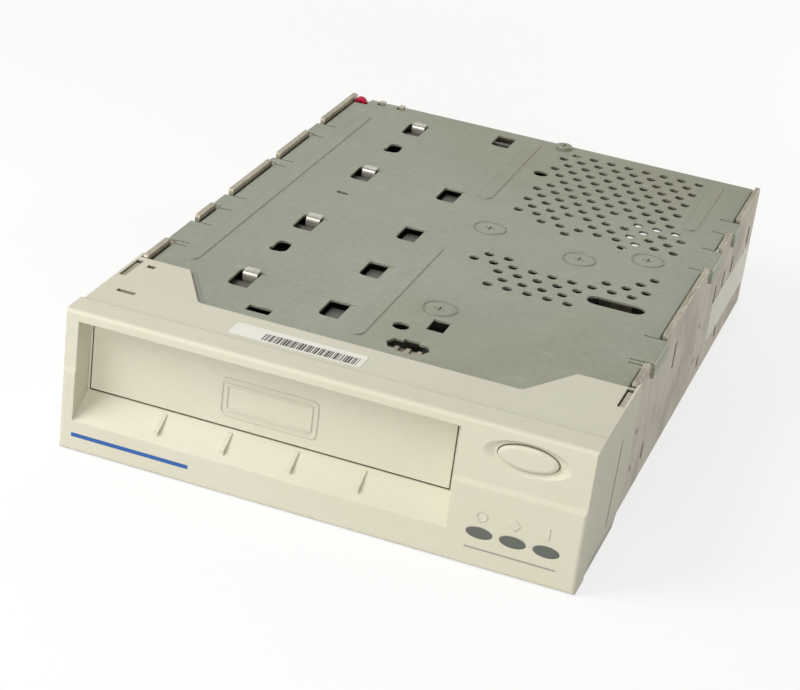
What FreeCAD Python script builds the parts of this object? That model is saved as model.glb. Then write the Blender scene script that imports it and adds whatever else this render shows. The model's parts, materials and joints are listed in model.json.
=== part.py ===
import FreeCAD, Part
import math
import os

V = FreeCAD.Vector
Z_UP = V(0, 0, 1)

# Half-height tape drive for 5.25 inch bays, millimetres.
# X runs across the front, Y from the bezel to the rear connectors, Z up.
# A depth is measured behind the upper half of the bezel's face, a negative one ahead of the rear edge.

# --- envelope and casings ---
overall_length = 213.4
bezel_width = 148.5
bezel_height = 42.0
bezel_overhang = 1.25
chassis_steel = 1.5
cover_steel = 0.8
cover_drop = 1.8
seat_gap = 0.05
running_gap = 0.3
axle_clearance = 0.06
face_step = 0.4

front = -overall_length / 2 + face_step
rear = overall_length / 2
chassis_width = bezel_width - 2 * bezel_overhang
half_bezel = bezel_width / 2
half_body = chassis_width / 2
inner = half_body - chassis_steel
left_wall = -inner
right_wall = inner
cover_top = bezel_height - cover_drop
ledge = cover_top - cover_steel

# --- standard mounting holes ---
mount_hole_radius = 1.25
mount_first = 47.4
mount_spacing_y = 79.25
mount_inset_x = 3.15
mount_side_low = 10.0
mount_side_step = 11.84

# --- cartridge bay between the left wall and the drive side ---
bay_side_gap = 2.05
drive_room = 36.45
bay_floor = 15.3
guide_rise = 5.8
door_gap = 0.35
bay_left = left_wall + bay_side_gap
bay_right = right_wall - drive_room
bay_centre_x = (bay_left + bay_right) / 2
bay_roof = ledge - guide_rise
opening_left = bay_left - door_gap
opening_right = bay_right + door_gap

# --- bezel ---
rim_depth = 8.6
rim_corner_radius = 1.2
face_step_rise = 1.7
face_crease_z = 25.1
face_crease_radius = 0.4
face_wall = 2.5
foot_radius = 0.8
flange_thickness = 1.1
flange_ear_radius = 0.8
flange_bay_radius = 2.0
flange_left_end = 43.0
flange_right_end = 41.6
flange_left_bay = 24.6
flange_right_bay = 24.2
flange_ear_left_x = left_wall + 13.8
flange_bay_left_x = left_wall + 24.7
flange_bay_right_x = right_wall - 24.9
flange_ear_right_x = right_wall - 14.5
# Slots as (x0, x1, first depth, last depth).
flange_slots = [(left_wall + 2.6, left_wall + 8.0, 18.8, 20.5), (left_wall + 2.8, left_wall + 5.1, 37.3, 39.3)]
flange_slot_margin = 0.5
crown_slot_play = 0.4
crown_slot_wall = 0.02
skirt_thickness = 0.9
skirt_length = 46.5
skirt_foot = 39.0
skirt_foot_run = 4.6
skirt_foot_rise = 4.0
skirt_heel_rise = 11.0
skirt_foot_radius = 3.0
skirt_top_radius = 0.6
groove_top = (31.8, 30.5)
groove_foot = (29.5, 5.3)
groove_width = 1.0
groove_cut = 0.45
flange_top = cover_top + flange_thickness

# --- cartridge mouth and door ---
recess_side = 0.9
recess_right_flare = 2.0
recess_depth = 8.0
recess_sill = 9.5
recess_drop = 3.1
recess_top_radius = 2.0
recess_top = bezel_height - recess_drop
door_thickness = 1.6
door_top_gap = 1.1
door_pin_radius = 1.0
door_pin_length = 1.5
door_pin_drop = 2.0
door_pin_inset = 1.3
door_barrel_wall = 0.5
ear_gap = 0.2
ear_width = 2.4
ear_drop = 3.4
ear_behind_pin = 1.8
fin_pitch = 19.4
fin_count = 4
fin_width = 1.3
fin_front = 1.4
fin_rear = 7.0
fin_rise = 2.4
fin_root = 0.6
fin_rear_rise = 0.2
badge_width = 28.3
badge_height = 11.4
badge_z = 24.6
badge_line = 0.7
badge_inset = 1.6
badge_rise = 0.25
badge_corner = 1.6
door_top = recess_top - door_top_gap
door_pin_z = recess_top - door_pin_drop
door_hinge_y = front + recess_depth + door_pin_inset

# --- eject button, switch and status windows ---
button_x = half_bezel - 17.85
button_z = bezel_height - 7.5
button_half_width = 8.15
button_half_height = 3.4
button_front = 0.05
button_dome = 0.45
button_dome_side = 1.0
button_dome_rise = 0.8
button_travel = 1.0
button_stem_radius = 2.0
button_stem_end = 9.8
collar_side = 1.4
collar_rise = 1.0
collar_thickness = 1.2
dish_half_width = 11.85
dish_half_height = 4.7
dish_slope_side = 2.4
dish_slope_rise = 0.8
dish_depth = 1.0
button_sides = 40
switch_half = 3.1
switch_front = 11.2
plunger_radius = 1.2
plunger_reach = 1.4
plunger_play = 0.1
window_first_x = half_bezel - 27.35
window_pitch = 9.1
window_count = 3
window_z = 10.3
window_half_width = 3.65
window_half_height = 1.7
window_fit = 0.03
window_sides = 28
pipe_half_width = 1.6
pipe_half_height = 1.3
led_front = 12.4
led_half_width = 1.5
led_half_height = 1.1
icon_z = 15.4
icon_half = 1.7
icon_line = 0.55
icon_rise = 0.15
pocket_left = half_bezel - 33.25
pocket_right = half_bezel - 3.25
pocket_bottom = 4.5
pocket_top = bezel_height - 2.4
panel_left = pocket_left + 0.5
panel_right = right_wall - 1.1
panel_top = bezel_height - 3.4
panel_depth = 14.6

# --- chassis walls ---
wall_crown = 1.4
crown_corner = 0.6
sunk_crown = (29.4, 40.4)
sunk_crown_drop = 0.5
# Depth ranges where each side wall rises past the cover.
crown_ranges = {
    -1: [(44.0, 59.5), (79.3, 91.6), (104.2, -77.8), (-71.0, -45.4), (-32.1, -0.4)],
    1: [(44.0, 59.0), (79.9, -78.9), (-59.6, -45.5), (-32.3, -0.4)],
}
notch_drop = 2.2
notch_behind = 2.4
notch_ahead = 1.0
# Slots through both side walls as (depth, z, length, height).
wall_slots = [
    (97.0, 28.0, 3.4, 9.0), (71.0, 8.5, 3.0, 5.5), (-58.5, 25.0, 3.2, 6.4), (-46.0, 25.5, 3.2, 6.4),
    (-33.4, 26.0, 3.2, 6.4), (-8.0, 27.0, 3.4, 6.6), (-68.0, 5.5, 3.2, 4.4), (-42.0, 5.5, 3.2, 4.4),
]
wall_slot_corner = 0.9
rear_shelf_length = 9.0
rear_shelf_width = 14.0
rear_opening_side = 5.5
rear_opening_top = 19.0
rear_lugs = [left_wall + 9.8, left_wall + 17.0]
rear_lug_half = 1.0
rear_lug_rise = 0.6
rear_lug_gap = 0.4
rear_lug_notch = 3.6

# --- top cover ---
cover_front = 12.5
cover_side_gap = 0.5
cover_side_roll = 0.5
tab_drop = 3.8
tab_fold_radius = 0.7
tab_slit = 4.4
slit_width = 0.9
slit_shift = 0.2
joggle_gap = 0.35
joggle_width = 1.3
joggle_rise = 0.2
vent_pitch = 6.0955
vent_radius = 1.68
vent_sides = 8
vent_origin_x = right_wall - 60.42
vent_rear_row = 7.6
vent_front_row = 95.1
row_step = vent_pitch * math.sqrt(3) / 2
bead_width = 3.9
bead_rise = 0.35
# Beads as (x, first depth, last depth).
bead_lines = [
    (left_wall + 9.6, 52.0, -17.0), (-3.8, 32.5, 104.0), (-4.0, -64.0, -4.5), (right_wall - 11.7, -49.5, -5.0),
]
# Two rows of windows as depth ranges, with their sides in x.
window_a = [(43.0, 54.8), (91.2, 102.8), (-73.7, -62.0), (-24.6, -13.5)]
window_a_x = (left_wall + 24.7, left_wall + 31.2)
window_b = [(38.8, 50.0), (70.6, 81.5), (102.0, 113.0), (-74.0, -62.5), (-15.7, -5.0)]
window_b_x = (left_wall + 54.0, left_wall + 60.3)
window_front_corner = 2.0
window_rear_corner = 1.0
window_tick = 1.2
window_tick_width = 0.6
keyhole_x = left_wall + 28.3
keyhole_depths = (75.6, -40.4)
keyhole_radius = 2.3
keyhole_ahead = 1.4
keyhole_behind = 2.6
keyhole_lean = 0.3
keyhole_lobe = 1.7
keyhole_lobe_x = 1.3
keyhole_lobe_ahead = 2.2
small_slot_x = (left_wall + 27.0, left_wall + 29.1)
small_slot_depth = -87.0
small_slot_radius = 1.0
front_slot_x = (left_wall + 36.2, left_wall + 43.2)
front_slot_depths = (30.0, 34.0)
front_slot_margin = 1.2
round_holes = [(5.3, 44.8), (5.2, -31.1)]
round_hole_radius = 2.5
square_hole = (11.8, 16.9, 46.8, 54.5)
clip_left = 5.0
clip_right = 17.6
clip_front = 30.6
clip_rear = 36.8
clip_point = 1.5
clip_notch = 4.0
clip_notch_reach = 1.1
long_slot_x = (right_wall - 23.1, right_wall - 11.7)
long_slot_depth = -119.2
long_slot_radius = 3.1

# --- fasteners ---
# Cover screws as (x, depth), the last but one of them on the guide's arm.
cover_screws = [(5.1, -86.2), (10.9, 61.8), (right_wall - 35.8, -93.0), (right_wall - 17.2, -81.2)]
cover_screw_radius = 1.25
cover_screw_head = 4.9
cover_screw_rim = 0.5
cover_screw_play = 0.1
cover_screw_grip = 3.2
cover_screw_sides = 20
cross_half = 1.6
cross_width = 0.6
cross_cut = 0.45
rear_screw = (5.2, -2.9)
rear_screw_head = 2.7
rear_screw_rise = 1.0
screw_shank = 1.2
screw_head = 2.4
screw_head_height = 1.2
screw_grip = 4.5
screw_slot = 0.6
screw_slot_cut = 0.5

# --- boards and connectors ---
board_z = 4.0
board_thickness = 1.6
board_side_gap = 2.5
board_front = 13.0
board_rear_gap = 5.0
post_radius = 2.2
post_foot_radius = 3.2
post_play = 0.1
# Standoffs as (x, depth).
post_places = [
    (left_wall + 11.5, 26.0), (left_wall + 11.5, 104.0), (left_wall + 11.5, -33.0),
    (right_wall - 47.5, 60.0), (right_wall - 7.5, 26.0), (right_wall - 7.5, -32.0),
]
controller_x = -20.0
controller_depth = 104.0
controller_size = 28.0
controller_height = 3.4
controller_bevel = 1.5
# Chips round the controller as (x offset, depth offset, width, length).
chip_places = [(-20, -54, 20, 14), (8, -42, 14, 20), (-24, -20, 14, 14), (-18, 32, 24, 18), (12, 46, 16, 12)]
chip_height = 2.4
# Capacitors as (x, depth).
capacitor_places = [(right_wall - 37.5, -22.0), (right_wall - 6.0, -12.0), (right_wall - 6.0, -21.0)]
capacitor_radius = 3.2
capacitor_height = 7.0
connector_reach = 15.0
connector_inset = 0.6
bus_left = left_wall + 9.0
bus_width = 66.0
bus_height = 9.0
bus_side = 3.0
bus_wall = 1.4
bus_corner = 1.2
bus_hollow = 8.0
tongue_side = 5.0
tongue_rise = 3.4
tongue_inset = 1.5
tongue_root = 0.5
power_right = right_wall - 11.0
power_width = 22.2
power_height = 11.2
power_wall = 1.3
power_hollow = 10.0
power_corner = 1.6
power_pin_count = 4
power_pin_pitch = 5.08
power_pin_radius = 1.05
power_pin_length = 8.5
jumper_gap = 3.0
jumper_columns = 6
jumper_pitch = 2.54
jumper_rear = 6.5
jumper_length = 3.5
jumper_height = 5.2
jumper_pin_half = 0.32
jumper_pin_inset = 1.0
jumper_pin_rise = 1.3
wire_x = left_wall + 2.5
wire_inset = 3.0
wire_radius = 1.0
wire_bend = 1.15
wire_sink = 0.6
wire_notch = 2.8
board_half = inner - board_side_gap
board_top = board_z + board_thickness
power_left = power_right - power_width
power_mid = (power_left + power_right) / 2

# --- deck and cartridge guides ---
deck_z = 12.8
deck_steel = 1.0
deck_front = 18.0
deck_rear = -27.0
deck_side_gap = 0.5
deck_corner = 2.0
deck_window_x = [(left_wall + 17.5, left_wall + 37.5), (left_wall + 51.5, left_wall + 71.5)]
deck_window_depths = [(36.0, 92.0), (-97.0, -55.0)]
deck_window_corner = 4.0
can_play = 0.6
guide_front = 32.0
guide_rear = -9.5
guide_wall = 1.6
guide_side_gap = 0.3
guide_overlap = 5.95
guide_boss_radius = 4.2
guide_arm_half = 4.6
guide_arm_thickness = 1.8
guide_window_x = [(left_wall + 4.5, left_wall + 20.5), (left_wall + 34.5, left_wall + 50.5)]
guide_window_depths = [(40.0, 84.0), (92.0, -73.0), (-65.0, -17.0)]
pad_drop = 1.3
pad_lap = 1.0
pad_inset = 0.8
rail_inset = 0.8
rail_ledge = 4.3
rail_rear = -53.0
rail_lead = 8.0
rail_lead_in = 1.6
right_rail_top = 17.2
right_rail_width = 2.3
guide_post_inset = 3.75
guide_post_depths = (38.0, -51.0)
guide_post_radius = 1.8
hook_width = 4.4
hook_steel = 0.8
hook_reach = 3.0
hook_lap = 0.5
hook_shift = 0.4
hook_bend = 1.5
clip_drop = 1.4
clip_base = 1.0
clip_base_side = 1.5
clip_base_front = 31.4
clip_base_rear = 35.8
clip_teeth = (8.0, 11.3, 14.6)
clip_tooth_half = 0.6
clip_tooth_rise = 0.8
clip_tooth_inset = 0.6
clip_pocket = 1.0
deck_top = deck_z + deck_steel
guide_right = bay_right + guide_overlap
plate_top = bay_roof + guide_wall

# --- load train: motor pinion, two-step wheel and rack plate ---
rack_module = 0.8
rack_pinion_teeth = 12
wheel_module = 0.6
wheel_teeth = 36
pinion_teeth = 10
pressure_angle = math.radians(20)
tooth_height = 0.9
tooth_root = 1.2
tooth_play = 0.09
train_x = right_wall - 14.3
train_depth = -55.0
motor_bearing = math.radians(135)
wheel_lift = 1.3
wheel_thickness = 2.0
pinion_lap = 0.2
axle_radius = 1.0
axle_foot = 2.2
axle_head = 1.8
axle_head_height = 0.6
load_motor_radius = 7.5
load_motor_bottom = 6.6
load_motor_shaft = 0.75
load_motor_shaft_foot = 3.0
load_motor_ear = 11.0
load_motor_ear_half = 3.0
load_motor_ear_steel = 1.0
slide_steel = 1.2
slide_travel = 16.0
slide_left = right_wall - 15.0
slide_right = right_wall - 0.6
slide_front = -153.0
slide_body_end = -77.5
slide_rack_overrun = 2.25
cam_x = right_wall - 8.0
cam_radius = 1.2
slide_pin_x = right_wall - 3.1
pin_depths = (-129.0, -83.0)
pin_shoulder = 1.5
pin_head = 1.9
pin_head_height = 0.6
slot_play = 0.1

# --- head and capstan bridge ---
bridge_steel = 1.2
bridge_lift = 0.3
bridge_travel = 4.0
bridge_left = right_wall - 29.5
bridge_right = right_wall - 5.0
bridge_front = -145.0
bridge_rear = -66.0
bridge_corner = 1.5
bridge_slot_x = right_wall - 24.5
bridge_slot_inset = 4.0
bridge_pin_head = 2.4
bridge_pin_head_height = 0.8
motor_bottom = 7.2
motor_floor = 1.0
motor_sink = 0.4
capstan_x = right_wall - 26.5
capstan_depth = -125.0
capstan_can_radius = 14.0
capstan_radius = 1.5
bush_radius = 3.2
bush_press = 0.02
bush_collar = 0.8
roller_z = 20.5
roller_radius = 8.5
roller_height = 7.0
roller_wall = 3.0
roller_gap = 0.4
shaft_tip = 0.6
shaft_foot = 0.2
head_depth = -89.0
head_mid_drop = 15.4
screw_x = right_wall - 18.0
stepper_radius = 7.5
stepper_boss_radius = 3.6
journal_radius = 1.0
journal_hole_play = 0.5
rod_x = right_wall - 21.5
rod_radius = 1.5
rod_spacing = 20.0
yoke_drop = 6.4
yoke_steel = 1.2
yoke_half = 15.2
carriage_left = right_wall - 25.5
carriage_right = right_wall - 15.5
carriage_height = 8.0
carriage_shoulder = 3.2
carriage_bevel = 0.8
head_face_x = right_wall - 34.6
head_half_width = 6.0
head_crown = 2.0

# --- cartridge sensing ---
lever_places = [(left_wall + 37.5, -45.0), (left_wall + 67.5, -45.0)]
lever_z = 18.0
lever_thickness = 2.0
lever_hub = 2.6
lever_foot = 2.0
lever_arm = (10.0, -7.5, 1.2)
lever_flag = (-7.0, 3.0, 1.0)
sensor_span = (-12.0, -5.2)
sensor_reach = (-2.0, 5.6)
sensor_height = 6.0
sensor_wall = 1.8
sensor_gap = 1.0

# --- heights and centres worked out from the sizes above ---
bridge_z = deck_top + bridge_lift
bridge_top = bridge_z + bridge_steel
slide_z = bridge_top + running_gap
slide_top = slide_z + slide_steel
wheel_z = slide_top + wheel_lift
wheel_top = wheel_z + wheel_thickness
rack_pitch = math.pi * rack_module
rack_line = train_x + rack_module * rack_pinion_teeth / 2
train_y = rear + train_depth
train_spread = wheel_module * (wheel_teeth + pinion_teeth) / 2
motor_x = train_x + train_spread * math.cos(motor_bearing)
motor_y = train_y + train_spread * math.sin(motor_bearing)
capstan_y = rear + capstan_depth
head_y = rear + head_depth
head_mid_z = ledge - head_mid_drop
head_bottom = head_mid_z - carriage_height / 2
head_top = head_mid_z + carriage_height / 2
yoke_z = ledge - yoke_drop


def at(depth):
    return rear + depth if depth < 0 else front + depth


def box(x0, x1, y0, y1, z0, z1):
    return Part.makeBox(x1 - x0, y1 - y0, z1 - z0, V(x0, y0, z0))


def post(x, y, z0, z1, radius):
    return Part.makeCylinder(radius, z1 - z0, V(x, y, z0), Z_UP)


def peg(x, y, z0, z1, radius, sides=12):
    # Plain prism for small repeated posts, heads and punched holes.
    step = 2 * math.pi / sides
    corners = [(x + radius * math.cos((k + 0.5) * step), y + radius * math.sin((k + 0.5) * step)) for k in range(sides)]
    return alongZ(sharp(corners), z0, z1)


def rodX(x0, x1, y, z, radius):
    return Part.makeCylinder(radius, x1 - x0, V(x0, y, z), V(1, 0, 0))


def pegY(x, y0, y1, z, radius, sides=8):
    step = 2 * math.pi / sides
    corners = [(x + radius * math.cos((k + 0.5) * step), z + radius * math.sin((k + 0.5) * step)) for k in range(sides)]
    return alongY(sharp(corners), y0, y1)


def ring(x, y, z0, z1, outer_radius, bore_radius):
    return post(x, y, z0, z1, outer_radius).cut(post(x, y, z0 - 1, z1 + 1, bore_radius))


def cornerArc(corners, i):
    # Centre and both tangent points of one rounded corner of an outline.
    count = len(corners)
    before = V(corners[i - 1][0], corners[i - 1][1], 0)
    here = V(corners[i][0], corners[i][1], 0)
    after = V(corners[(i + 1) % count][0], corners[(i + 1) % count][1], 0)
    radius = corners[i][2]
    to_before = (before - here).normalize()
    to_after = (after - here).normalize()
    half_angle = to_before.getAngle(to_after) / 2
    reach = radius / math.tan(half_angle)
    centre = here + (to_before + to_after).normalize() * (radius / math.sin(half_angle))
    return centre, here + to_before * reach, here + to_after * reach


def wire(corners):
    # Closed outline from (u, v, corner radius) points, corners as tangent arcs.
    joints = []
    for i, (u, v, radius) in enumerate(corners):
        here = V(u, v, 0)
        if radius <= 0:
            joints.append((here, None, here))
            continue
        centre, start, end = cornerArc(corners, i)
        joints.append((start, centre + (here - centre).normalize() * radius, end))
    edges = []
    for i, (start, middle, end) in enumerate(joints):
        if middle is not None:
            edges.append(Part.Arc(start, middle, end).toShape())
        following = joints[(i + 1) % len(joints)][0]
        if end.distanceToPoint(following) > 1e-6:
            edges.append(Part.LineSegment(end, following).toShape())
    return Part.Wire(edges)


def sharp(points):
    return wire([(u, v, 0) for u, v in points])


def eased(corners, steps=3):
    # Outline from (u, v, corner radius) points, each corner in a few flats.
    points = []
    for i, (u, v, radius) in enumerate(corners):
        if radius <= 0:
            points.append((u, v))
            continue
        centre, start, end = cornerArc(corners, i)
        first = start - centre
        last = end - centre
        sweep = math.atan2(first.cross(last).z, first.dot(last))
        for k in range(steps + 1):
            turn = sweep * k / steps
            points.append((centre.x + first.x * math.cos(turn) - first.y * math.sin(turn),
                           centre.y + first.x * math.sin(turn) + first.y * math.cos(turn)))
    return sharp(points)


def alongZ(outline, z0, z1):
    solid = Part.Face(outline).extrude(V(0, 0, z1 - z0))
    solid.translate(V(0, 0, z0))
    return solid


def alongX(outline, x0, x1):
    # The outline is drawn as (Y, Z).
    solid = Part.Face(outline).extrude(V(0, 0, x1 - x0))
    turn = FreeCAD.Rotation(V(0, 1, 0), V(0, 0, 1), V(1, 0, 0), "XYZ")
    solid.Placement = FreeCAD.Placement(V(x0, 0, 0), turn)
    return solid


def alongY(outline, y0, y1):
    # The outline is drawn as (X, Z).
    solid = Part.Face(outline).extrude(V(0, 0, y1 - y0))
    turn = FreeCAD.Rotation(V(1, 0, 0), V(0, 0, 1), V(0, -1, 0), "XYZ")
    solid.Placement = FreeCAD.Placement(V(0, y1, 0), turn)
    return solid


def rectangle(x0, x1, y0, y1, corner=0, steps=1):
    return eased([(x0, y0, corner), (x1, y0, corner), (x1, y1, corner), (x0, y1, corner)], steps)


def stadium(x0, y0, x1, y1, radius, z0, z1, steps=6):
    # Slot of one width from one end centre to the other, in any direction of the XY plane.
    heading = math.atan2(y1 - y0, x1 - x0)
    corners = []
    for x, y, start in ((x1, y1, heading - math.pi / 2), (x0, y0, heading + math.pi / 2)):
        for k in range(steps + 1):
            angle = start + math.pi * k / steps
            corners.append((x + radius * math.cos(angle), y + radius * math.sin(angle)))
    return alongZ(sharp(corners), z0, z1)


def oval(x, z, half_width, half_height, sides):
    step = 2 * math.pi / sides
    return sharp([(x + half_width * math.cos(k * step), z + half_height * math.sin(k * step)) for k in range(sides)])


def ovalBar(x, z, half_width, half_height, y0, y1, sides=button_sides):
    return alongY(oval(x, z, half_width, half_height, sides), y0, y1)


def ovalTaper(x, z, y0, half_width0, half_height0, y1, half_width1, half_height1):
    loops = []
    turn = FreeCAD.Rotation(V(1, 0, 0), V(0, 0, 1), V(0, -1, 0), "XYZ")
    for y, half_width, half_height in ((y0, half_width0, half_height0), (y1, half_width1, half_height1)):
        loop = oval(x, z, half_width, half_height, button_sides)
        loop.Placement = FreeCAD.Placement(V(0, y, 0), turn)
        loops.append(loop)
    return Part.makeLoft(loops, True, True)


def group(solids):
    return Part.makeCompound(solids)


def fused(solids):
    return solids[0].fuse(solids[1:]).removeSplitter()


def keep(name, shape):
    shape.exportStep("parts/" + name + ".step")


# --- chassis ---

def wallSpan(side):
    return min(side * half_body, side * inner), max(side * half_body, side * inner)


def wallGaps(side):
    # Stretches behind the bezel's skirt where the wall stays low between two crowns.
    ranges = crown_ranges[side]
    gaps = [(at(ranges[i][1]), at(ranges[i + 1][0])) for i in range(len(ranges) - 1)]
    return [(start, end) for start, end in gaps if end - start > notch_behind + notch_ahead]


def crownBar(x0, x1, y0, y1, top):
    outline = sharp([(y0, ledge - 1), (y1, ledge - 1), (y1, top - crown_corner), (y1 - crown_corner, top),
                     (y0 + crown_corner, top), (y0, top - crown_corner)])
    return alongX(outline, x0, x1)


def chassisTray():
    y0 = at(rim_depth)
    y_wall = rear - chassis_steel
    solids = [box(-half_body, half_body, y0, rear, 0, chassis_steel), box(-inner, inner, y_wall, rear, 0, ledge)]
    cuts = []
    for side in (-1, 1):
        x0, x1 = wallSpan(side)
        solids.append(box(x0, x1, y0, rear, 0, ledge))
        solids.append(crownBar(x0, x1, at(sunk_crown[0]), at(sunk_crown[1]), flange_top - sunk_crown_drop))
        for start, end in crown_ranges[side]:
            solids.append(crownBar(x0, x1, at(start), at(end), cover_top + wall_crown))
        for start, end in wallGaps(side):
            cuts.append(box(x0 - 1, x1 + 1, start, start + notch_behind, ledge - notch_drop, ledge + 1))
            cuts.append(box(x0 - 1, x1 + 1, end - notch_ahead, end, ledge - notch_drop, ledge + 1))
    for x in rear_lugs:
        solids.append(box(x - rear_lug_half, x + rear_lug_half, y_wall, rear, ledge - 1, cover_top + rear_lug_rise))
    shelf_x = rear_screw[0]
    shelf_half = rear_shelf_width / 2
    solids.append(box(shelf_x - shelf_half, shelf_x + shelf_half, rear - rear_shelf_length, rear, ledge - chassis_steel, ledge))
    opening = inner - rear_opening_side
    cuts.append(box(-opening, opening, y_wall - chassis_steel, rear + 1, board_z, rear_opening_top))
    for k in range(2):
        y = at(rim_depth + mount_first + k * mount_spacing_y)
        for side in (-1, 1):
            cuts.append(post(side * (half_body - mount_inset_x), y, -1, chassis_steel + 1, mount_hole_radius))
            x0, x1 = wallSpan(side)
            for z in (mount_side_low, mount_side_low + mount_side_step):
                cuts.append(rodX(x0 - 1, x1 + 1, y, z, mount_hole_radius))
    for depth, z, length, height in wall_slots:
        y = at(depth)
        outline = rectangle(y - length / 2, y + length / 2, z - height / 2, z + height / 2, wall_slot_corner)
        for side in (-1, 1):
            x0, x1 = wallSpan(side)
            cuts.append(alongX(outline, x0 - 1, x1 + 1))
    cuts.append(peg(shelf_x, at(rear_screw[1]), ledge - 2 * chassis_steel, ledge + 1, cover_screw_radius, 8))
    return fused(solids).cut(group(cuts))


# --- top cover ---

def ventPlaces():
    # Holes on a triangular lattice, as (x, distance from the rear edge) rows.
    places = []
    rear_rows = [range(0, 8)] * 5 + [range(1, 8)] + [range(0, 8)] * 3
    rear_rows += [[0, 1, 2, 3, 4, 6, 7, 8], range(0, 9), [0, 1, 2, 4, 5, 6, 7, 8], range(1, 9), [3, 6]]
    front_rows = [[8], [8], [0, 1, 6, 7, 8], range(0, 9), range(1, 6), range(2, 6), range(1, 6)]
    for offset, rows in ((vent_rear_row, rear_rows), (vent_front_row, front_rows)):
        for row, columns in enumerate(rows):
            shift = 0.5 if row % 2 else 0.0
            for column in columns:
                places.append((vent_origin_x + vent_pitch * (column - shift), rear - offset - row * row_step))
    return places


def windowOutline(x0, x1, y0, y1):
    # Rounded on the left, square on the right with a relief slit at the rear corner.
    return eased([
        (x0, y0, window_front_corner), (x1, y0, 0), (x1, y1 - window_tick_width, 0),
        (x1 + window_tick, y1 - window_tick_width, 0), (x1 + window_tick, y1, 0), (x0, y1, window_rear_corner),
    ])


def keyhole(y, z0, z1):
    slot = stadium(keyhole_x, y - keyhole_ahead, keyhole_x - keyhole_lean, y + keyhole_behind, keyhole_radius, z0, z1)
    return slot.fuse(peg(keyhole_x - keyhole_lobe_x, y - keyhole_lobe_ahead, z0, z1, keyhole_lobe))


def clipOpening(z0, z1):
    # Wide hexagon with a notch in its front and rear edges.
    y0 = at(clip_front)
    y1 = at(clip_rear)
    y_mid = (y0 + y1) / 2
    shape = alongZ(sharp([(clip_left, y_mid), (clip_left + clip_point, y0), (clip_right - clip_point, y0),
                          (clip_right, y_mid), (clip_right - clip_point, y1), (clip_left + clip_point, y1)]), z0, z1)
    reach = clip_notch_reach
    return shape.fuse(box(clip_left + clip_notch, clip_right - clip_notch, y0 - reach, y1 + reach, z0, z1))


def coverOpenings():
    # Every opening of the cover as solids to cut away.
    z0 = ledge - 1
    z1 = cover_top + 1
    cuts = [peg(x, y, z0, z1, vent_radius, vent_sides) for x, y in ventPlaces()]
    for ranges, (x0, x1) in ((window_a, window_a_x), (window_b, window_b_x)):
        for start, end in ranges:
            cuts.append(alongZ(windowOutline(x0, x1, at(start), at(end)), z0, z1))
    for depth in keyhole_depths:
        cuts.append(keyhole(at(depth), z0, z1))
    y = at(small_slot_depth)
    cuts.append(stadium(small_slot_x[0], y, small_slot_x[1], y, small_slot_radius, z0, z1))
    cuts.append(box(front_slot_x[0], front_slot_x[1], at(front_slot_depths[0]), at(front_slot_depths[1]), z0, z1))
    for x, depth in round_holes:
        cuts.append(peg(x, at(depth), z0, z1, round_hole_radius))
    x0, x1, start, end = square_hole
    cuts.append(box(x0, x1, at(start), at(end), z0, z1))
    cuts.append(clipOpening(z0, z1))
    y = at(long_slot_depth)
    cuts.append(stadium(long_slot_x[0], y, long_slot_x[1], y, long_slot_radius, z0, z1))
    cuts.append(box(-inner - 1, wire_x + wire_notch, rear - wire_inset - wire_notch, rear + 1, z0, z1))
    for x in rear_lugs:
        half = rear_lug_half + rear_lug_gap
        cuts.append(box(x - half, x + half, rear - rear_lug_notch, rear + 1, z0, z1))
    for x0, x1, start, end in flange_slots:
        margin = flange_slot_margin
        cuts.append(box(x0 - margin, x1 + margin, at(start) - margin, at(end) + margin, z0, z1))
    return cuts


def joggleStrip(ear, bay):
    # Raised step of the cover that follows one slanted edge of the bezel's flange.
    edge = (bay - ear).normalize()
    across = Z_UP.cross(edge)
    if across.y < 0:
        across = across * -1
    near = across * joggle_gap
    far = across * (joggle_gap + joggle_width)
    corners = [ear + near, bay + near, bay + far, ear + far]
    return alongZ(sharp([(c.x, c.y) for c in corners]), cover_top - cover_steel / 2, cover_top + joggle_rise)


def topCover():
    edge = inner - cover_side_gap
    low = cover_top - cover_side_roll
    profile = sharp([(-edge, ledge), (edge, ledge), (edge, low), (edge - cover_side_roll, cover_top),
                     (-edge + cover_side_roll, cover_top), (-edge, low)])
    solids = [alongY(profile, at(cover_front), rear)]
    slits = []
    outer = half_body + cover_steel
    for side in (-1, 1):
        for index, (start, end) in enumerate(wallGaps(side)):
            y0 = start + notch_behind
            y1 = end - notch_ahead
            root = side * (edge - tab_slit)
            solids.append(box(min(root, side * half_body), max(root, side * half_body), y0, y1, ledge, cover_top))
            fold = eased([(side * half_body, ledge - tab_drop, 0), (side * outer, ledge - tab_drop, 0),
                          (side * outer, cover_top, tab_fold_radius), (side * half_body, cover_top, 0)])
            solids.append(alongY(fold, y0, y1))
            places = [start + slit_shift, y1 - slit_shift]
            if index == 0:
                places.append(y0 + slit_shift)
            for y in places:
                tip = side * (outer + 1)
                slits.append(box(min(root, tip), max(root, tip), y - slit_width / 2, y + slit_width / 2,
                                 ledge - tab_drop - 1, cover_top + 1))
    for x, start, end in bead_lines:
        radius = bead_width / 2
        solids.append(stadium(x, at(start) + radius, x, at(end) - radius, radius, cover_top - cover_steel / 2, cover_top + bead_rise))
    solids.append(joggleStrip(V(flange_ear_left_x, at(flange_left_end), 0), V(flange_bay_left_x, at(flange_left_bay), 0)))
    solids.append(joggleStrip(V(flange_ear_right_x, at(flange_right_end), 0), V(flange_bay_right_x, at(flange_right_bay), 0)))
    cuts = coverOpenings() + slits
    for x, depth in cover_screws:
        seat = cover_top - cover_screw_rim
        cuts.append(peg(x, at(depth), seat, cover_top + 1, cover_screw_head + cover_screw_play, cover_screw_sides))
    for x, depth in cover_screws + [rear_screw]:
        cuts.append(peg(x, at(depth), ledge - 1, cover_top + 1, cover_screw_radius, 8))
    return fused(solids).cut(group(cuts))


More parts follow.
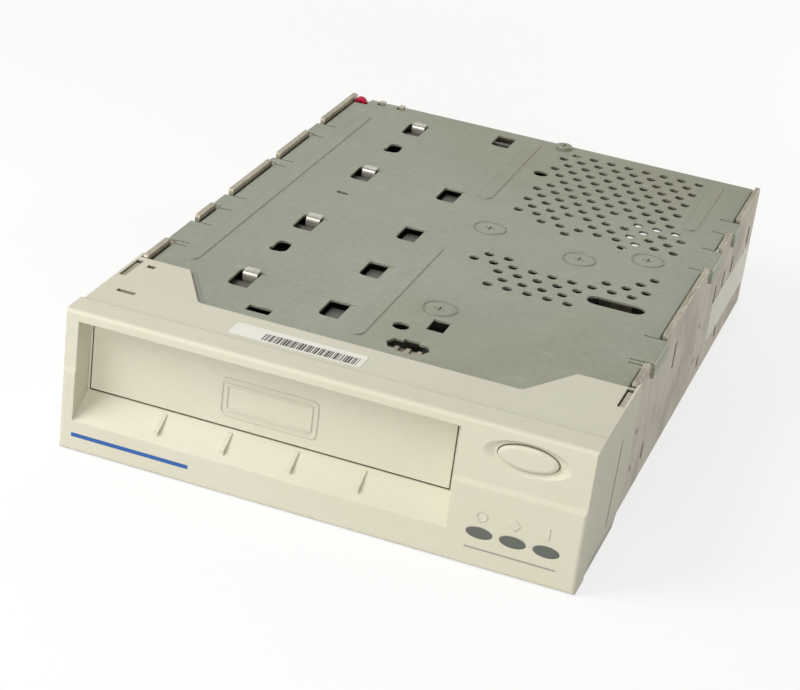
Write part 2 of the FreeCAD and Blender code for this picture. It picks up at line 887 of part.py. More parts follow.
# --- bezel and door ---

def bezelRim():
    # Side profile with the lower half of the face standing slightly proud.
    y_low = front - face_step
    profile = wire([
        (y_low, 0, foot_radius), (at(rim_depth), 0, 0), (at(rim_depth), bezel_height, 0),
        (front, bezel_height, rim_corner_radius), (front, face_crease_z, face_crease_radius),
        (y_low, face_crease_z - face_step_rise, face_crease_radius),
    ])
    plan = wire([
        (-half_bezel, y_low, rim_corner_radius), (half_bezel, y_low, rim_corner_radius),
        (half_bezel, at(rim_depth), 0), (-half_bezel, at(rim_depth), 0),
    ])
    return alongX(profile, -half_bezel, half_bezel).common(alongZ(plan, -1, bezel_height + 1))


def bezelFlange():
    # Shelf over the cover with an ear at each side.
    side = half_body + skirt_thickness
    y_left = at(flange_left_end)
    y_right = at(flange_right_end)
    outline = wire([
        (-side, at(rim_depth), 0), (side, at(rim_depth), 0), (side, y_right, 0),
        (flange_ear_right_x, y_right, flange_ear_radius), (flange_bay_right_x, at(flange_right_bay), flange_bay_radius),
        (flange_bay_left_x, at(flange_left_bay), flange_bay_radius), (flange_ear_left_x, y_left, flange_ear_radius),
        (-side, y_left, 0),
    ])
    z0 = cover_top - 1
    z1 = flange_top + 1
    cuts = [box(x0, x1, at(start), at(end), z0, z1) for x0, x1, start, end in flange_slots]
    for side in (-1, 1):
        outside = side * (half_body + crown_slot_wall)
        inside = side * (inner - crown_slot_play)
        y0 = at(sunk_crown[0]) - crown_slot_play
        y1 = at(sunk_crown[1]) + crown_slot_play
        cuts.append(box(min(outside, inside), max(outside, inside), y0, y1, z0, z1))
    return alongZ(outline, cover_top, flange_top).cut(group(cuts))


def bezelSkirts():
    outline = wire([
        (at(rim_depth), 0, 0), (at(skirt_foot), 0, 0),
        (at(skirt_foot + skirt_foot_run), skirt_foot_rise, skirt_foot_radius),
        (at(skirt_length), skirt_heel_rise, skirt_foot_radius), (at(skirt_length), flange_top, skirt_top_radius),
        (at(rim_depth), flange_top, 0),
    ])
    half = groove_width / 2
    groove = sharp([(at(groove_top[0]) - half, groove_top[1]), (at(groove_top[0]) + half, groove_top[1]),
                    (at(groove_foot[0]) + half, groove_foot[1]), (at(groove_foot[0]) - half, groove_foot[1])])
    skirts = []
    for side in (-1, 1):
        inside = side * (half_body + seat_gap)
        outside = side * (half_body + skirt_thickness)
        skirt = alongX(outline, min(inside, outside), max(inside, outside))
        cut_from = side * (half_body + skirt_thickness - groove_cut)
        cut_to = side * (half_body + skirt_thickness + 1)
        skirts.append(skirt.cut(alongX(groove, min(cut_from, cut_to), max(cut_from, cut_to))))
    return skirts


def recessFloor(depth):
    # Height of the sloping sill at a depth behind the face.
    return recess_sill + (bay_floor - recess_sill) * depth / recess_depth


def hingeEars():
    return [(left_wall + ear_gap, opening_left - ear_gap), (opening_right + ear_gap, opening_right + ear_gap + ear_width)]


def iconMarks():
    # Raised symbols over the windows: a ring, a diamond and a bar.
    y0 = front - face_step - icon_rise
    y1 = front
    inner_half = icon_half - icon_line
    x = window_first_x
    marks = [pegY(x, y0, y1, icon_z, icon_half, 12).cut(pegY(x, y0 - 1, y1 + 1, icon_z, inner_half, 12))]
    x += window_pitch
    diamond = sharp([(x - icon_half, icon_z), (x, icon_z - icon_half), (x + icon_half, icon_z), (x, icon_z + icon_half)])
    marks.append(alongY(diamond, y0, y1))
    x += window_pitch
    marks.append(box(x - icon_line / 2, x + icon_line / 2, y0, y1, icon_z - icon_half, icon_z + icon_half))
    return marks


def frontBezel():
    y_recess = at(recess_depth)
    y_out = front - 2
    mouth = wire([(y_out, recessFloor(-2), 0), (y_recess, bay_floor, 0), (y_recess, recess_top, recess_top_radius),
                  (y_out, recess_top, 0)])
    rim = bezelRim().cut(alongX(mouth, bay_left - recess_side, bay_right + recess_side + recess_right_flare))
    rim = rim.cut(box(opening_left, opening_right, y_recess - 1, at(rim_depth) + 1, bay_floor, recess_top))
    solids = [rim, bezelFlange()] + bezelSkirts()
    ear_back = door_hinge_y + door_pin_radius + ear_behind_pin
    for x0, x1 in hingeEars():
        solids.append(box(x0, x1, at(rim_depth) - 1, ear_back, door_pin_z - ear_drop, ledge - ear_gap))
    for k in range(fin_count):
        x = bay_centre_x + (k - (fin_count - 1) / 2) * fin_pitch
        fin = sharp([
            (at(fin_rear), recessFloor(fin_rear) - fin_root), (at(fin_rear), recessFloor(fin_rear) + fin_rear_rise),
            (at(fin_front), recess_sill + fin_rise), (at(fin_front), recessFloor(fin_front) - fin_root),
        ])
        solids.append(alongX(fin, x - fin_width / 2, x + fin_width / 2))
    cuts = [box(pocket_left, pocket_right, at(face_wall), at(rim_depth) + 1, pocket_bottom, pocket_top)]
    for x0, x1 in hingeEars():
        cuts.append(rodX(x0 - ear_gap, x1 + ear_gap, door_hinge_y, door_pin_z, door_pin_radius + axle_clearance))
    cuts.append(ovalTaper(button_x, button_z, front, dish_half_width, dish_half_height,
                          at(dish_depth), dish_half_width - dish_slope_side, dish_half_height - dish_slope_rise))
    y_wall = at(face_wall) + 1
    cuts.append(ovalBar(button_x, button_z, button_half_width + running_gap, button_half_height + running_gap, front, y_wall))
    for k in range(window_count):
        x = window_first_x + k * window_pitch
        cuts.append(ovalBar(x, window_z, window_half_width, window_half_height, y_out, y_wall, window_sides))
    return fused([fused(solids).cut(group(cuts))] + iconMarks())


def badgeFrame(y_door, inset):
    frame = []
    for edge in (inset, inset + badge_line):
        half_width = badge_width / 2 - edge
        half_height = badge_height / 2 - edge
        frame.append(rectangle(bay_centre_x - half_width, bay_centre_x + half_width,
                               badge_z - half_height, badge_z + half_height, badge_corner - edge / 2, 3))
    return alongY(frame[0], y_door - badge_rise, y_door + seat_gap).cut(alongY(frame[1], y_door - 1, y_door + 1))


def cartridgeDoor():
    y0 = at(recess_depth)
    y1 = y0 + door_thickness
    z0 = bay_floor + door_gap
    panel = wire([(y0, z0, door_gap), (y1, z0, 0), (y1, door_top, door_gap), (y0, door_top, 2 * door_gap)])
    door = alongX(panel, bay_left, bay_right)
    barrel = rodX(bay_left, bay_right, door_hinge_y, door_pin_z, door_pin_radius + door_barrel_wall)
    pins = rodX(bay_left - door_pin_length, bay_right + door_pin_length, door_hinge_y, door_pin_z, door_pin_radius)
    return fused([door, barrel, pins, badgeFrame(y0, 0), badgeFrame(y0, badge_inset)])


def ejectButton():
    # Domed cap, retaining collar behind the face and a stem to the switch.
    y_cap = at(button_front + button_dome)
    y_collar = at(face_wall) + running_gap
    cap = ovalBar(button_x, button_z, button_half_width, button_half_height, y_cap, y_collar)
    crown = ovalTaper(button_x, button_z, at(button_front), button_half_width - button_dome_side,
                      button_half_height - button_dome_rise, y_cap, button_half_width, button_half_height)
    collar = ovalBar(button_x, button_z, button_half_width + collar_side, button_half_height + collar_rise,
                     y_collar, y_collar + collar_thickness)
    stem = pegY(button_x, y_collar + collar_thickness / 2, at(button_stem_end), button_z, button_stem_radius)
    plunger = pegY(button_x, at(button_stem_end), at(switch_front + plunger_reach), button_z, plunger_radius)
    return fused([cap, crown, collar, stem, plunger])


def ejectSwitch():
    body = box(button_x - switch_half, button_x + switch_half, at(switch_front), at(panel_depth),
               button_z - switch_half, button_z + switch_half)
    y_end = at(switch_front + plunger_reach + button_travel) + seat_gap
    return body.cut(pegY(button_x, at(switch_front) - 1, y_end, button_z, plunger_radius + plunger_play))


def lightPipes():
    pipes = []
    for k in range(window_count):
        x = window_first_x + k * window_pitch
        lens = ovalBar(x, window_z, window_half_width - window_fit, window_half_height - window_fit,
                       front - face_step, at(face_wall), window_sides)
        bar = box(x - pipe_half_width, x + pipe_half_width, at(face_wall), at(led_front),
                  window_z - pipe_half_height, window_z + pipe_half_height)
        pipes.append(fused([lens, bar]))
    return group(pipes)


def panelLeds():
    leds = []
    for k in range(window_count):
        x = window_first_x + k * window_pitch
        leds.append(box(x - led_half_width, x + led_half_width, at(led_front), at(panel_depth),
                        window_z - led_half_height, window_z + led_half_height))
    return group(leds)


def panelBoard():
    return box(panel_left, panel_right, at(panel_depth), at(panel_depth) + board_thickness, board_top, panel_top)


# --- boards, connectors and posts ---

def deckPosts():
    # Clinched standoffs: the board rests on the shoulder, the deck on the tip.
    posts = []
    for x, depth in post_places:
        y = at(depth)
        foot = peg(x, y, chassis_steel, board_z, post_foot_radius, 6)
        stem = peg(x, y, board_z, deck_z, post_radius, 6)
        bore = peg(x, y, deck_z - screw_grip, deck_z + 1, screw_shank + seat_gap, 8)
        posts.append(fused([foot, stem]).cut(bore))
    return group(posts)


def deckScrews():
    # Slotted pan-head screws that stand on the deck.
    screws = []
    z1 = deck_top + screw_head_height
    for x, depth in post_places:
        y = at(depth)
        shank = peg(x, y, deck_z + deck_steel / 2 - screw_grip, deck_top, screw_shank, 8)
        head = peg(x, y, deck_top, z1, screw_head)
        slot = box(x - screw_head, x + screw_head, y - screw_slot / 2, y + screw_slot / 2, z1 - screw_slot_cut, z1 + 1)
        screws.append(fused([shank, head]).cut(slot))
    return group(screws)


def crossRecess(x, y, top):
    half = cross_width / 2
    return group([box(x - cross_half, x + cross_half, y - half, y + half, top - cross_cut, top + 1),
                  box(x - half, x + half, y - cross_half, y + cross_half, top - cross_cut, top + 1)])


def coverScrews():
    # Four wide flat heads sunk flush into the cover and one raised head at the rear.
    screws = []
    for x, depth in cover_screws:
        y = at(depth)
        head = peg(x, y, cover_top - cover_screw_rim, cover_top, cover_screw_head, cover_screw_sides)
        shank = peg(x, y, ledge - cover_screw_grip, cover_top - cover_screw_rim, cover_screw_radius - seat_gap, 8)
        screws.append(fused([head, shank]).cut(crossRecess(x, y, cover_top)))
    x = rear_screw[0]
    y = at(rear_screw[1])
    head = peg(x, y, cover_top, cover_top + rear_screw_rise, rear_screw_head)
    shank = peg(x, y, ledge - cover_screw_grip, cover_top, cover_screw_radius - seat_gap, 8)
    screws.append(fused([head, shank]).cut(crossRecess(x, y, cover_top + rear_screw_rise)))
    return group(screws)


def mainBoard():
    board = box(-board_half, board_half, at(board_front), rear - board_rear_gap, board_z, board_top)
    holes = [peg(x, at(depth), board_z - 1, board_top + 1, post_radius + post_play, 6) for x, depth in post_places]
    return board.cut(group(holes))


def boardChips():
    chips = []
    for x_offset, depth_offset, width, length in chip_places:
        x = controller_x + x_offset
        y = at(controller_depth + depth_offset)
        chips.append(box(x - width / 2, x + width / 2, y - length / 2, y + length / 2, board_top, board_top + chip_height))
    return group(chips)


def controllerChip():
    half = controller_size / 2
    x = controller_x
    y = at(controller_depth)
    return alongZ(rectangle(x - half, x + half, y - half, y + half, controller_bevel), board_top, board_top + controller_height)


def boardCapacitors():
    return group([peg(x, at(depth), board_top, board_top + capacitor_height, capacitor_radius) for x, depth in capacitor_places])


def busConnector():
    # Shrouded high-density bus connector with its contact tongue.
    x0 = bus_left
    x1 = bus_left + bus_width
    z0 = board_top
    z1 = board_top + bus_height
    y1 = rear - connector_inset
    shell = alongY(eased([(x0, z0, 0), (x1, z0, 0), (x1, z1, bus_corner), (x0, z1, bus_corner)]), rear - connector_reach, y1)
    hollow = box(x0 + bus_side, x1 - bus_side, y1 - bus_hollow, y1 + 1, z0 + bus_wall, z1 - bus_wall)
    tongue = box(x0 + tongue_side, x1 - tongue_side, y1 - bus_hollow - tongue_root, y1 - tongue_inset,
                 z0 + tongue_rise, z1 - tongue_rise)
    return fused([shell.cut(hollow), tongue])


def powerConnector():
    z1 = board_top + power_height
    y1 = rear - connector_inset
    outline = eased([(power_left, board_top, 0), (power_right, board_top, 0),
                     (power_right, z1, power_corner), (power_left, z1, power_corner)], 1)
    cavity = box(power_left + power_wall, power_right - power_wall, y1 - power_hollow, y1 + 1,
                 board_top + power_wall, z1 - power_wall)
    return alongY(outline, rear - connector_reach, y1).cut(cavity)


def powerPins():
    pins = []
    y_back = rear - connector_inset - power_hollow
    for k in range(power_pin_count):
        x = power_mid + (k - (power_pin_count - 1) / 2) * power_pin_pitch
        pins.append(pegY(x, y_back, y_back + power_pin_length, board_top + power_height / 2, power_pin_radius))
    return group(pins)


def jumperHeader():
    x0 = bus_left + bus_width + jumper_gap
    y1 = rear - jumper_rear
    return box(x0, x0 + jumper_columns * jumper_pitch, y1 - jumper_length, y1, board_top, board_top + jumper_height)


def jumperPins():
    pins = []
    half = jumper_pin_half
    for k in range(jumper_columns):
        x = bus_left + bus_width + jumper_gap + (k + 0.5) * jumper_pitch
        for row in range(2):
            z = board_top + jumper_pin_rise + row * jumper_pitch
            pins.append(box(x - half, x + half, rear - jumper_rear, rear - jumper_pin_inset, z - half, z + half))
    return group(pins)


def redWire():
    # Short insulated loop that stands through the rear corner of the cover.
    y = rear - wire_inset
    z_bend = cover_top - wire_sink
    section = peg(wire_x + wire_bend, y, z_bend, z_bend + 1, wire_radius, 8)
    face = [f for f in section.Faces if abs(f.CenterOfMass.z - z_bend) < 1e-6][0]
    arch = face.revolve(V(wire_x, y, z_bend), V(0, -1, 0), 180)
    legs = [peg(x, y, chassis_steel, z_bend, wire_radius, 8) for x in (wire_x - wire_bend, wire_x + wire_bend)]
    return fused([arch] + legs)


# --- deck, cartridge guides ---

def deckPlate():
    edge = inner - deck_side_gap
    z0 = deck_z - 1
    z1 = deck_top + 1
    plate = alongZ(rectangle(-edge, edge, at(deck_front), at(deck_rear), deck_corner), deck_z, deck_top)
    cuts = [peg(x, at(depth), z0, z1, screw_shank + running_gap, 8) for x, depth in post_places]
    cuts.append(stadium(capstan_x - bridge_travel, capstan_y, capstan_x, capstan_y, capstan_can_radius + can_play, z0, z1, 10))
    cuts.append(stadium(screw_x - bridge_travel, head_y, screw_x, head_y, stepper_radius + can_play, z0, z1, 8))
    cuts.append(peg(motor_x, motor_y, z0, z1, load_motor_radius + can_play, 16))
    for x0, x1 in deck_window_x:
        for start, end in deck_window_depths:
            cuts.append(alongZ(rectangle(x0, x1, at(start), at(end), deck_window_corner), z0, z1))
    return plate.cut(group(cuts))


def leftRail():
    face = bay_left + rail_inset
    outside = left_wall + guide_side_gap
    profile = sharp([(outside, deck_top), (face + rail_ledge, deck_top), (face + rail_ledge, bay_floor),
                     (face, bay_floor), (face, bay_roof), (outside, bay_roof)])
    y0 = at(guide_front)
    lead = sharp([(face + seat_gap, y0 - 1), (face + seat_gap, y0 + rail_lead), (face - rail_lead_in, y0 - 1)])
    return alongY(profile, y0, at(rail_rear)).cut(alongZ(lead, bay_floor, bay_roof + 1))


def rightRail():
    face = bay_right - rail_inset
    outside = face + right_rail_width
    profile = sharp([(face - rail_ledge, deck_top), (outside, deck_top), (outside, right_rail_top),
                     (face, right_rail_top), (face, bay_floor), (face - rail_ledge, bay_floor)])
    return alongY(profile, at(guide_front), at(rail_rear))


def upperGuide():
    # Moulded roof of the bay: a plate with a raised rim, screw bosses and pads under the cover's windows.
    x0 = left_wall + guide_side_gap
    y0 = at(guide_front)
    y1 = at(guide_rear)
    root = plate_top - seat_gap
    shell = box(x0, guide_right, y0, y1, bay_roof, ledge)
    shell = shell.cut(box(x0 + guide_wall, guide_right - guide_wall, y0 + guide_wall, y1 - guide_wall, plate_top, ledge + 1))
    solids = [shell]
    for x, depth in cover_screws:
        solids.append(peg(x, at(depth), root, ledge, guide_boss_radius, 8))
    for start, end in window_a:
        y_leg = at(end) - hook_reach
        solids.append(box(window_a_x[0] - pad_lap, window_a_x[1] + pad_lap, at(start) - pad_lap, y_leg - pad_inset, root, ledge - pad_drop))
    for start, end in window_b:
        solids.append(box(window_b_x[0] + pad_inset, window_b_x[1] - pad_inset, at(start) + pad_inset, at(end) - pad_inset,
                          root, ledge - pad_drop))
    arm_x, arm_depth = cover_screws[-1]
    arm_y = at(arm_depth)
    solids.append(box(guide_right - guide_wall, arm_x + guide_arm_half, arm_y - guide_arm_half, arm_y + guide_arm_half,
                      plate_top, plate_top + guide_arm_thickness))
    cuts = [box(clip_left - clip_base_side - clip_pocket, clip_right + clip_base_side + clip_pocket, y0 - 1,
                at(clip_base_rear) + clip_pocket, ledge - clip_drop - clip_base, ledge + 1)]
    cuts.append(box(front_slot_x[0] - front_slot_margin, front_slot_x[1] + front_slot_margin, y0 - 1,
                    at(front_slot_depths[1]) + front_slot_margin, bay_roof - 1, ledge + 1))
    for gx0, gx1 in guide_window_x:
        for start, end in guide_window_depths:
            cuts.append(box(gx0, gx1, at(start), at(end), bay_roof - 1, plate_top + seat_gap / 2))
    for x, depth in cover_screws:
        cuts.append(peg(x, at(depth), ledge - cover_screw_grip - running_gap, ledge + 1, cover_screw_radius, 8))
    return fused(solids).cut(group(cuts))


def guidePosts():
    x = bay_right + guide_post_inset
    return group([peg(x, at(depth), deck_top, bay_roof, guide_post_radius, 6) for depth in guide_post_depths])


def coverHooks():
    # Bright hooks that rise through the left windows and catch the cover's edge.
    hooks = []
    x_mid = (window_a_x[0] + window_a_x[1]) / 2 + hook_shift
    top = cover_top + hook_steel
    for start, end in window_a:
        y_leg = at(end) - hook_reach
        y_tip = at(end) + hook_lap
        profile = eased([
            (y_leg, plate_top, 0), (y_leg + hook_steel, plate_top, 0), (y_leg + hook_steel, cover_top, hook_bend - hook_steel),
            (y_tip, cover_top, 0), (y_tip, top, 0), (y_leg, top, hook_bend),
        ], 4)
        hooks.append(alongX(profile, x_mid - hook_width / 2, x_mid + hook_width / 2))
    return group(hooks)


def frontClip():
    # Small sprung clip on the guide's rim, behind the front opening of the cover.
    z1 = ledge - clip_drop
    base = box(clip_left - clip_base_side, clip_right + clip_base_side, at(clip_base_front), at(clip_base_rear), z1 - clip_base, z1)
    teeth = [box(x - clip_tooth_half, x + clip_tooth_half, at(clip_base_front) + clip_tooth_inset,
                 at(clip_base_rear) - clip_tooth_inset, z1 - clip_base / 2, z1 + clip_tooth_rise) for x in clip_teeth]
    return fused([base] + teeth)


# --- load train ---

def involute(angle):
    return math.tan(angle) - angle


def gearOutline(module, teeth, turn):
    # Involute tooth flanks with a little backlash, one tooth centred on the turn angle.
    pitch_radius = module * teeth / 2
    base_radius = pitch_radius * math.cos(pressure_angle)
    root = pitch_radius - tooth_root * module
    tip = pitch_radius + tooth_height * module
    half_tooth = math.pi / (2 * teeth) - tooth_play * module / pitch_radius
    flank = []
    for radius in (root, pitch_radius, tip):
        slope = math.acos(min(1.0, base_radius / radius))
        flank.append((radius, half_tooth + involute(pressure_angle) - involute(slope)))
    points = []
    for k in range(teeth):
        middle = turn + 2 * math.pi * k / teeth
        for radius, half in flank:
            points.append((radius * math.cos(middle - half), radius * math.sin(middle - half)))
        for radius, half in reversed(flank):
            points.append((radius * math.cos(middle + half), radius * math.sin(middle + half)))
    return sharp(points)


def rackTooth(middle, root_line):
    slope = math.tan(pressure_angle)
    half = rack_pitch / 4 - tooth_play * rack_module
    rise = tooth_height * rack_module
    drop = tooth_root * rack_module
    root = root_line + seat_gap
    tip = rack_line - rise
    tooth = sharp([(root, middle - half - drop * slope), (tip, middle - half + rise * slope),
                   (tip, middle + half - rise * slope), (root, middle + half + drop * slope)])
    return alongZ(tooth, slide_z, slide_top)


def loadSlide():
    # Cam plate: rack at the rear, two slanted slots that shift the bridge, two straight guide slots.
    y0 = at(slide_front)
    y_body = at(slide_body_end)
    root_line = rack_line + tooth_root * rack_module
    rack_end = train_y + slide_rack_overrun * rack_pitch
    outline = wire([(slide_left, y0, 2.0), (slide_right, y0, 2.0), (slide_right, rack_end, 0.5),
                    (root_line, rack_end, 0), (root_line, y_body, 1.0), (slide_left, y_body, 1.5)])
    count = int((rack_end - y_body) / rack_pitch)
    teeth = [rackTooth(train_y + (1.5 - k) * rack_pitch, root_line) for k in range(count)]
    cuts = []
    for depth in pin_depths:
        y = at(depth)
        cuts.append(stadium(cam_x, y, cam_x - bridge_travel, y - slide_travel, cam_radius + slot_play, slide_z - 1, slide_top + 1))
        cuts.append(stadium(slide_pin_x, y, slide_pin_x, y - slide_travel, axle_radius + slot_play, slide_z - 1, slide_top + 1))
    return fused([alongZ(outline, slide_z, slide_top)] + teeth).cut(group(cuts))


def slidePins():
    # Shouldered pins that carry the cam plate, each with a retaining head.
    pins = []
    z0 = slide_z - seat_gap
    z1 = slide_top + slot_play
    for depth in pin_depths:
        y = at(depth)
        pins.append(fused([
            peg(slide_pin_x, y, deck_top, z0, pin_shoulder),
            peg(slide_pin_x, y, z0, z1, axle_radius),
            peg(slide_pin_x, y, z1, z1 + pin_head_height, pin_head),
        ]))
    return group(pins)


def loadGear():
    # Wheel and rack pinion moulded in one piece.
    small = alongZ(gearOutline(rack_module, rack_pinion_teeth, 0), slide_z - slot_play, wheel_z)
    wheel = alongZ(gearOutline(wheel_module, wheel_teeth, 0), wheel_z, wheel_top)
    gear = small.fuse(wheel)
    gear.translate(V(train_x, train_y, 0))
    return gear.cut(post(train_x, train_y, 0, ledge, axle_radius + axle_clearance))


def gearAxle():
    z0 = slide_z - slot_play - seat_gap
    z1 = wheel_top + slot_play
    return fused([
        post(train_x, train_y, deck_top, z0, axle_foot),
        post(train_x, train_y, z0, z1, axle_radius),
        post(train_x, train_y, z1, z1 + axle_head_height, axle_head),
    ])


def motorPinion():
    # Driving pinion on the motor's own shaft.
    outline = gearOutline(wheel_module, pinion_teeth, motor_bearing + math.pi)
    gear = alongZ(outline, wheel_z - pinion_lap, wheel_top + pinion_lap)
    gear.translate(V(motor_x, motor_y, 0))
    return fused([gear, post(motor_x, motor_y, load_motor_bottom + load_motor_shaft_foot, wheel_z, load_motor_shaft)])


def loadMotor():
    z1 = deck_top + load_motor_ear_steel
    can = post(motor_x, motor_y, load_motor_bottom, z1, load_motor_radius)
    ears = alongZ(rectangle(motor_x - load_motor_ear, motor_x + load_motor_ear, motor_y - load_motor_ear_half,
                            motor_y + load_motor_ear_half, deck_corner), deck_top, z1)
    z_bore = load_motor_bottom + load_motor_shaft_foot - slot_play
    return fused([can, ears]).cut(post(motor_x, motor_y, z_bore, slide_top, load_motor_shaft + axle_clearance))


# --- head and capstan bridge ---

def bridgeSlotPlaces():
    return [(bridge_slot_x, at(bridge_front) + bridge_slot_inset), (bridge_slot_x, at(bridge_rear) - bridge_slot_inset)]


def headBridge():
    # Sliding plate that carries the capstan motor and the head lift.
    plate = alongZ(rectangle(bridge_left, bridge_right, at(bridge_front), at(bridge_rear), bridge_corner), bridge_z, bridge_top)
    z0 = bridge_z - 1
    z1 = bridge_top + 1
    cuts = [post(capstan_x, capstan_y, z0, z1, bush_radius + bush_press)]
    cuts.append(peg(screw_x, head_y, z0, z1, journal_radius + journal_hole_play))
    for x, y in bridgeSlotPlaces():
        cuts.append(stadium(x, y, x + bridge_travel, y, rod_radius + slot_play, z0, z1))
    pins = [peg(cam_x, at(depth), bridge_z + bridge_steel / 2, slide_top + running_gap, cam_radius) for depth in pin_depths]
    return fused([plate.cut(group(cuts))] + pins)


def bridgePins():
    pins = []
    z0 = bridge_z - seat_gap
    z1 = bridge_top + slot_play
    for x, y in bridgeSlotPlaces():
        pins.append(fused([
            peg(x, y, deck_top, z0, bridge_pin_head),
            peg(x, y, z0, z1, rod_radius),
            peg(x, y, z1, z1 + bridge_pin_head_height, bridge_pin_head),
        ]))
    return group(pins)


def motorCan(x, y, can_radius, boss_radius, bore_radius):
    # Can hung below the deck, its boss under the bridge and a blind bore for the shaft.
    z_boss = deck_top - motor_sink
    can = post(x, y, motor_bottom, z_boss, can_radius)
    boss = post(x, y, z_boss, bridge_z, boss_radius)
    return fused([can, boss]).cut(post(x, y, motor_bottom + motor_floor, bridge_z + 1, bore_radius))


def capstanMotor():
    return motorCan(capstan_x, capstan_y, capstan_can_radius, bush_radius + bush_collar, capstan_radius + axle_clearance)


def capstanBush():
    return ring(capstan_x, capstan_y, bridge_z, roller_z - roller_gap, bush_radius, capstan_radius + axle_clearance)


def capstanShaft():
    z0 = motor_bottom + motor_floor + shaft_foot
    shaft = post(capstan_x, capstan_y, z0, roller_z + roller_height + shaft_tip, capstan_radius)
    hub = post(capstan_x, capstan_y, roller_z, roller_z + roller_height, roller_radius - roller_wall)
    return fused([shaft, hub])


def driveRoller():
    return ring(capstan_x, capstan_y, roller_z, roller_z + roller_height, roller_radius, roller_radius - roller_wall)


def stepperMotor():
    return motorCan(screw_x, head_y, stepper_radius, stepper_boss_radius, journal_radius + axle_clearance)


def leadScrew():
    z0 = bridge_top + roller_gap
    z1 = yoke_z - running_gap
    return fused([
        post(screw_x, head_y, motor_bottom + motor_floor + shaft_foot, z0, journal_radius),
        post(screw_x, head_y, z0, z1, rod_radius),
        post(screw_x, head_y, z1, yoke_z + yoke_steel, journal_radius),
    ])


def headYoke():
    # Bent bracket over the head lift.
    y0 = head_y - yoke_half
    y1 = head_y + yoke_half
    yoke = fused([
        box(carriage_left, carriage_right, y0, y1, yoke_z, yoke_z + yoke_steel),
        box(carriage_left, carriage_right, y0, y0 + yoke_steel, bridge_top, yoke_z),
        box(carriage_left, carriage_right, y1 - yoke_steel, y1, bridge_top, yoke_z),
    ])
    return yoke.cut(post(screw_x, head_y, yoke_z - 1, yoke_z + yoke_steel + 1, journal_radius + axle_clearance))


def guideRods():
    return group([post(rod_x, head_y + side * rod_spacing / 2, bridge_top, yoke_z, rod_radius) for side in (-1, 1)])


def headCarriage():
    half_length = rod_spacing / 2 + carriage_shoulder
    outline = rectangle(carriage_left, carriage_right, head_y - half_length, head_y + half_length, carriage_bevel)
    bores = [(screw_x, head_y)] + [(rod_x, head_y + side * rod_spacing / 2) for side in (-1, 1)]
    cuts = [post(x, y, head_bottom - 1, head_top + 1, rod_radius + axle_clearance) for x, y in bores]
    return alongZ(outline, head_bottom, head_top).cut(group(cuts))


def magneticHead():
    # Head block with the crowned face that meets the tape.
    y0 = head_y - head_half_width
    y1 = head_y + head_half_width
    x_crown = head_face_x + head_crown
    outline = Part.Wire([
        Part.LineSegment(V(carriage_left, y0, 0), V(carriage_left, y1, 0)).toShape(),
        Part.LineSegment(V(carriage_left, y1, 0), V(x_crown, y1, 0)).toShape(),
        Part.Arc(V(x_crown, y1, 0), V(head_face_x, head_y, 0), V(x_crown, y0, 0)).toShape(),
        Part.LineSegment(V(x_crown, y0, 0), V(carriage_left, y0, 0)).toShape(),
    ])
    return alongZ(outline, head_bottom, head_top)


# --- cartridge sensing ---

def sensorLever(x, y):
    # Arm into the bay, hub on its pin and a flag that swings through the sensor.
    z1 = lever_z + lever_thickness
    hub = peg(x, y, lever_z, z1, lever_hub)
    arm_x, arm_y, arm_radius = lever_arm
    flag_x, flag_y, flag_radius = lever_flag
    arm = stadium(x, y, x + arm_x, y + arm_y, arm_radius, lever_z, z1)
    flag = stadium(x, y, x + flag_x, y + flag_y, flag_radius, lever_z, z1)
    return fused([hub, arm, flag]).cut(post(x, y, lever_z - 1, z1 + 1, axle_radius + axle_clearance))


def leverPins():
    pins = []
    z0 = lever_z - slot_play
    for x, depth in lever_places:
        y = at(depth)
        pins.append(fused([
            peg(x, y, deck_top, z0, lever_foot, 6),
            post(x, y, z0, lever_z + lever_thickness + axle_head_height, axle_radius),
        ]))
    return group(pins)


def flagSensors():
    sensors = []
    z_slot = lever_z - sensor_gap
    for x, depth in lever_places:
        y = at(depth)
        x0 = x + sensor_span[0]
        x1 = x + sensor_span[1]
        body = box(x0, x1, y + sensor_reach[0], y + sensor_reach[1], deck_top, lever_z + sensor_height)
        slot = box(x0 + sensor_wall, x1 + 1, y + sensor_reach[0] - 1, y + sensor_reach[1] + 1,
                   z_slot, lever_z + lever_thickness + sensor_gap)
        sensors.append(body.cut(slot))
    return group(sensors)


os.makedirs("parts", exist_ok=True)

keep("chassis_tray", chassisTray())
keep("top_cover", topCover())
keep("front_bezel", frontBezel())
keep("cartridge_door", cartridgeDoor())
keep("eject_button", ejectButton())
keep("eject_switch", ejectSwitch())
keep("light_pipes", lightPipes())
keep("panel_leds", panelLeds())
keep("panel_board", panelBoard())
keep("deck_posts", deckPosts())
keep("deck_screws", deckScrews())
keep("cover_screws", coverScrews())
keep("main_board", mainBoard())
keep("board_chips", boardChips())
keep("controller_chip", controllerChip())
keep("board_capacitors", boardCapacitors())
keep("bus_connector", busConnector())
keep("power_connector", powerConnector())
keep("power_pins", powerPins())
keep("jumper_header", jumperHeader())
keep("jumper_pins", jumperPins())
keep("red_wire", redWire())
keep("deck_plate", deckPlate())
keep("left_guide_rail", leftRail())
keep("right_guide_rail", rightRail())
keep("upper_guide", upperGuide())
keep("guide_posts", guidePosts())
keep("cover_hooks", coverHooks())
keep("front_clip", frontClip())
keep("load_slide", loadSlide())
keep("slide_pins", slidePins())
keep("load_gear", loadGear())
keep("gear_axle", gearAxle())
keep("motor_pinion", motorPinion())
keep("load_motor", loadMotor())
keep("head_bridge", headBridge())
keep("bridge_pins", bridgePins())
keep("capstan_motor", capstanMotor())
keep("capstan_bush", capstanBush())
keep("capstan_shaft", capstanShaft())
keep("drive_roller", driveRoller())
keep("stepper_motor", stepperMotor())
keep("lead_screw", leadScrew())
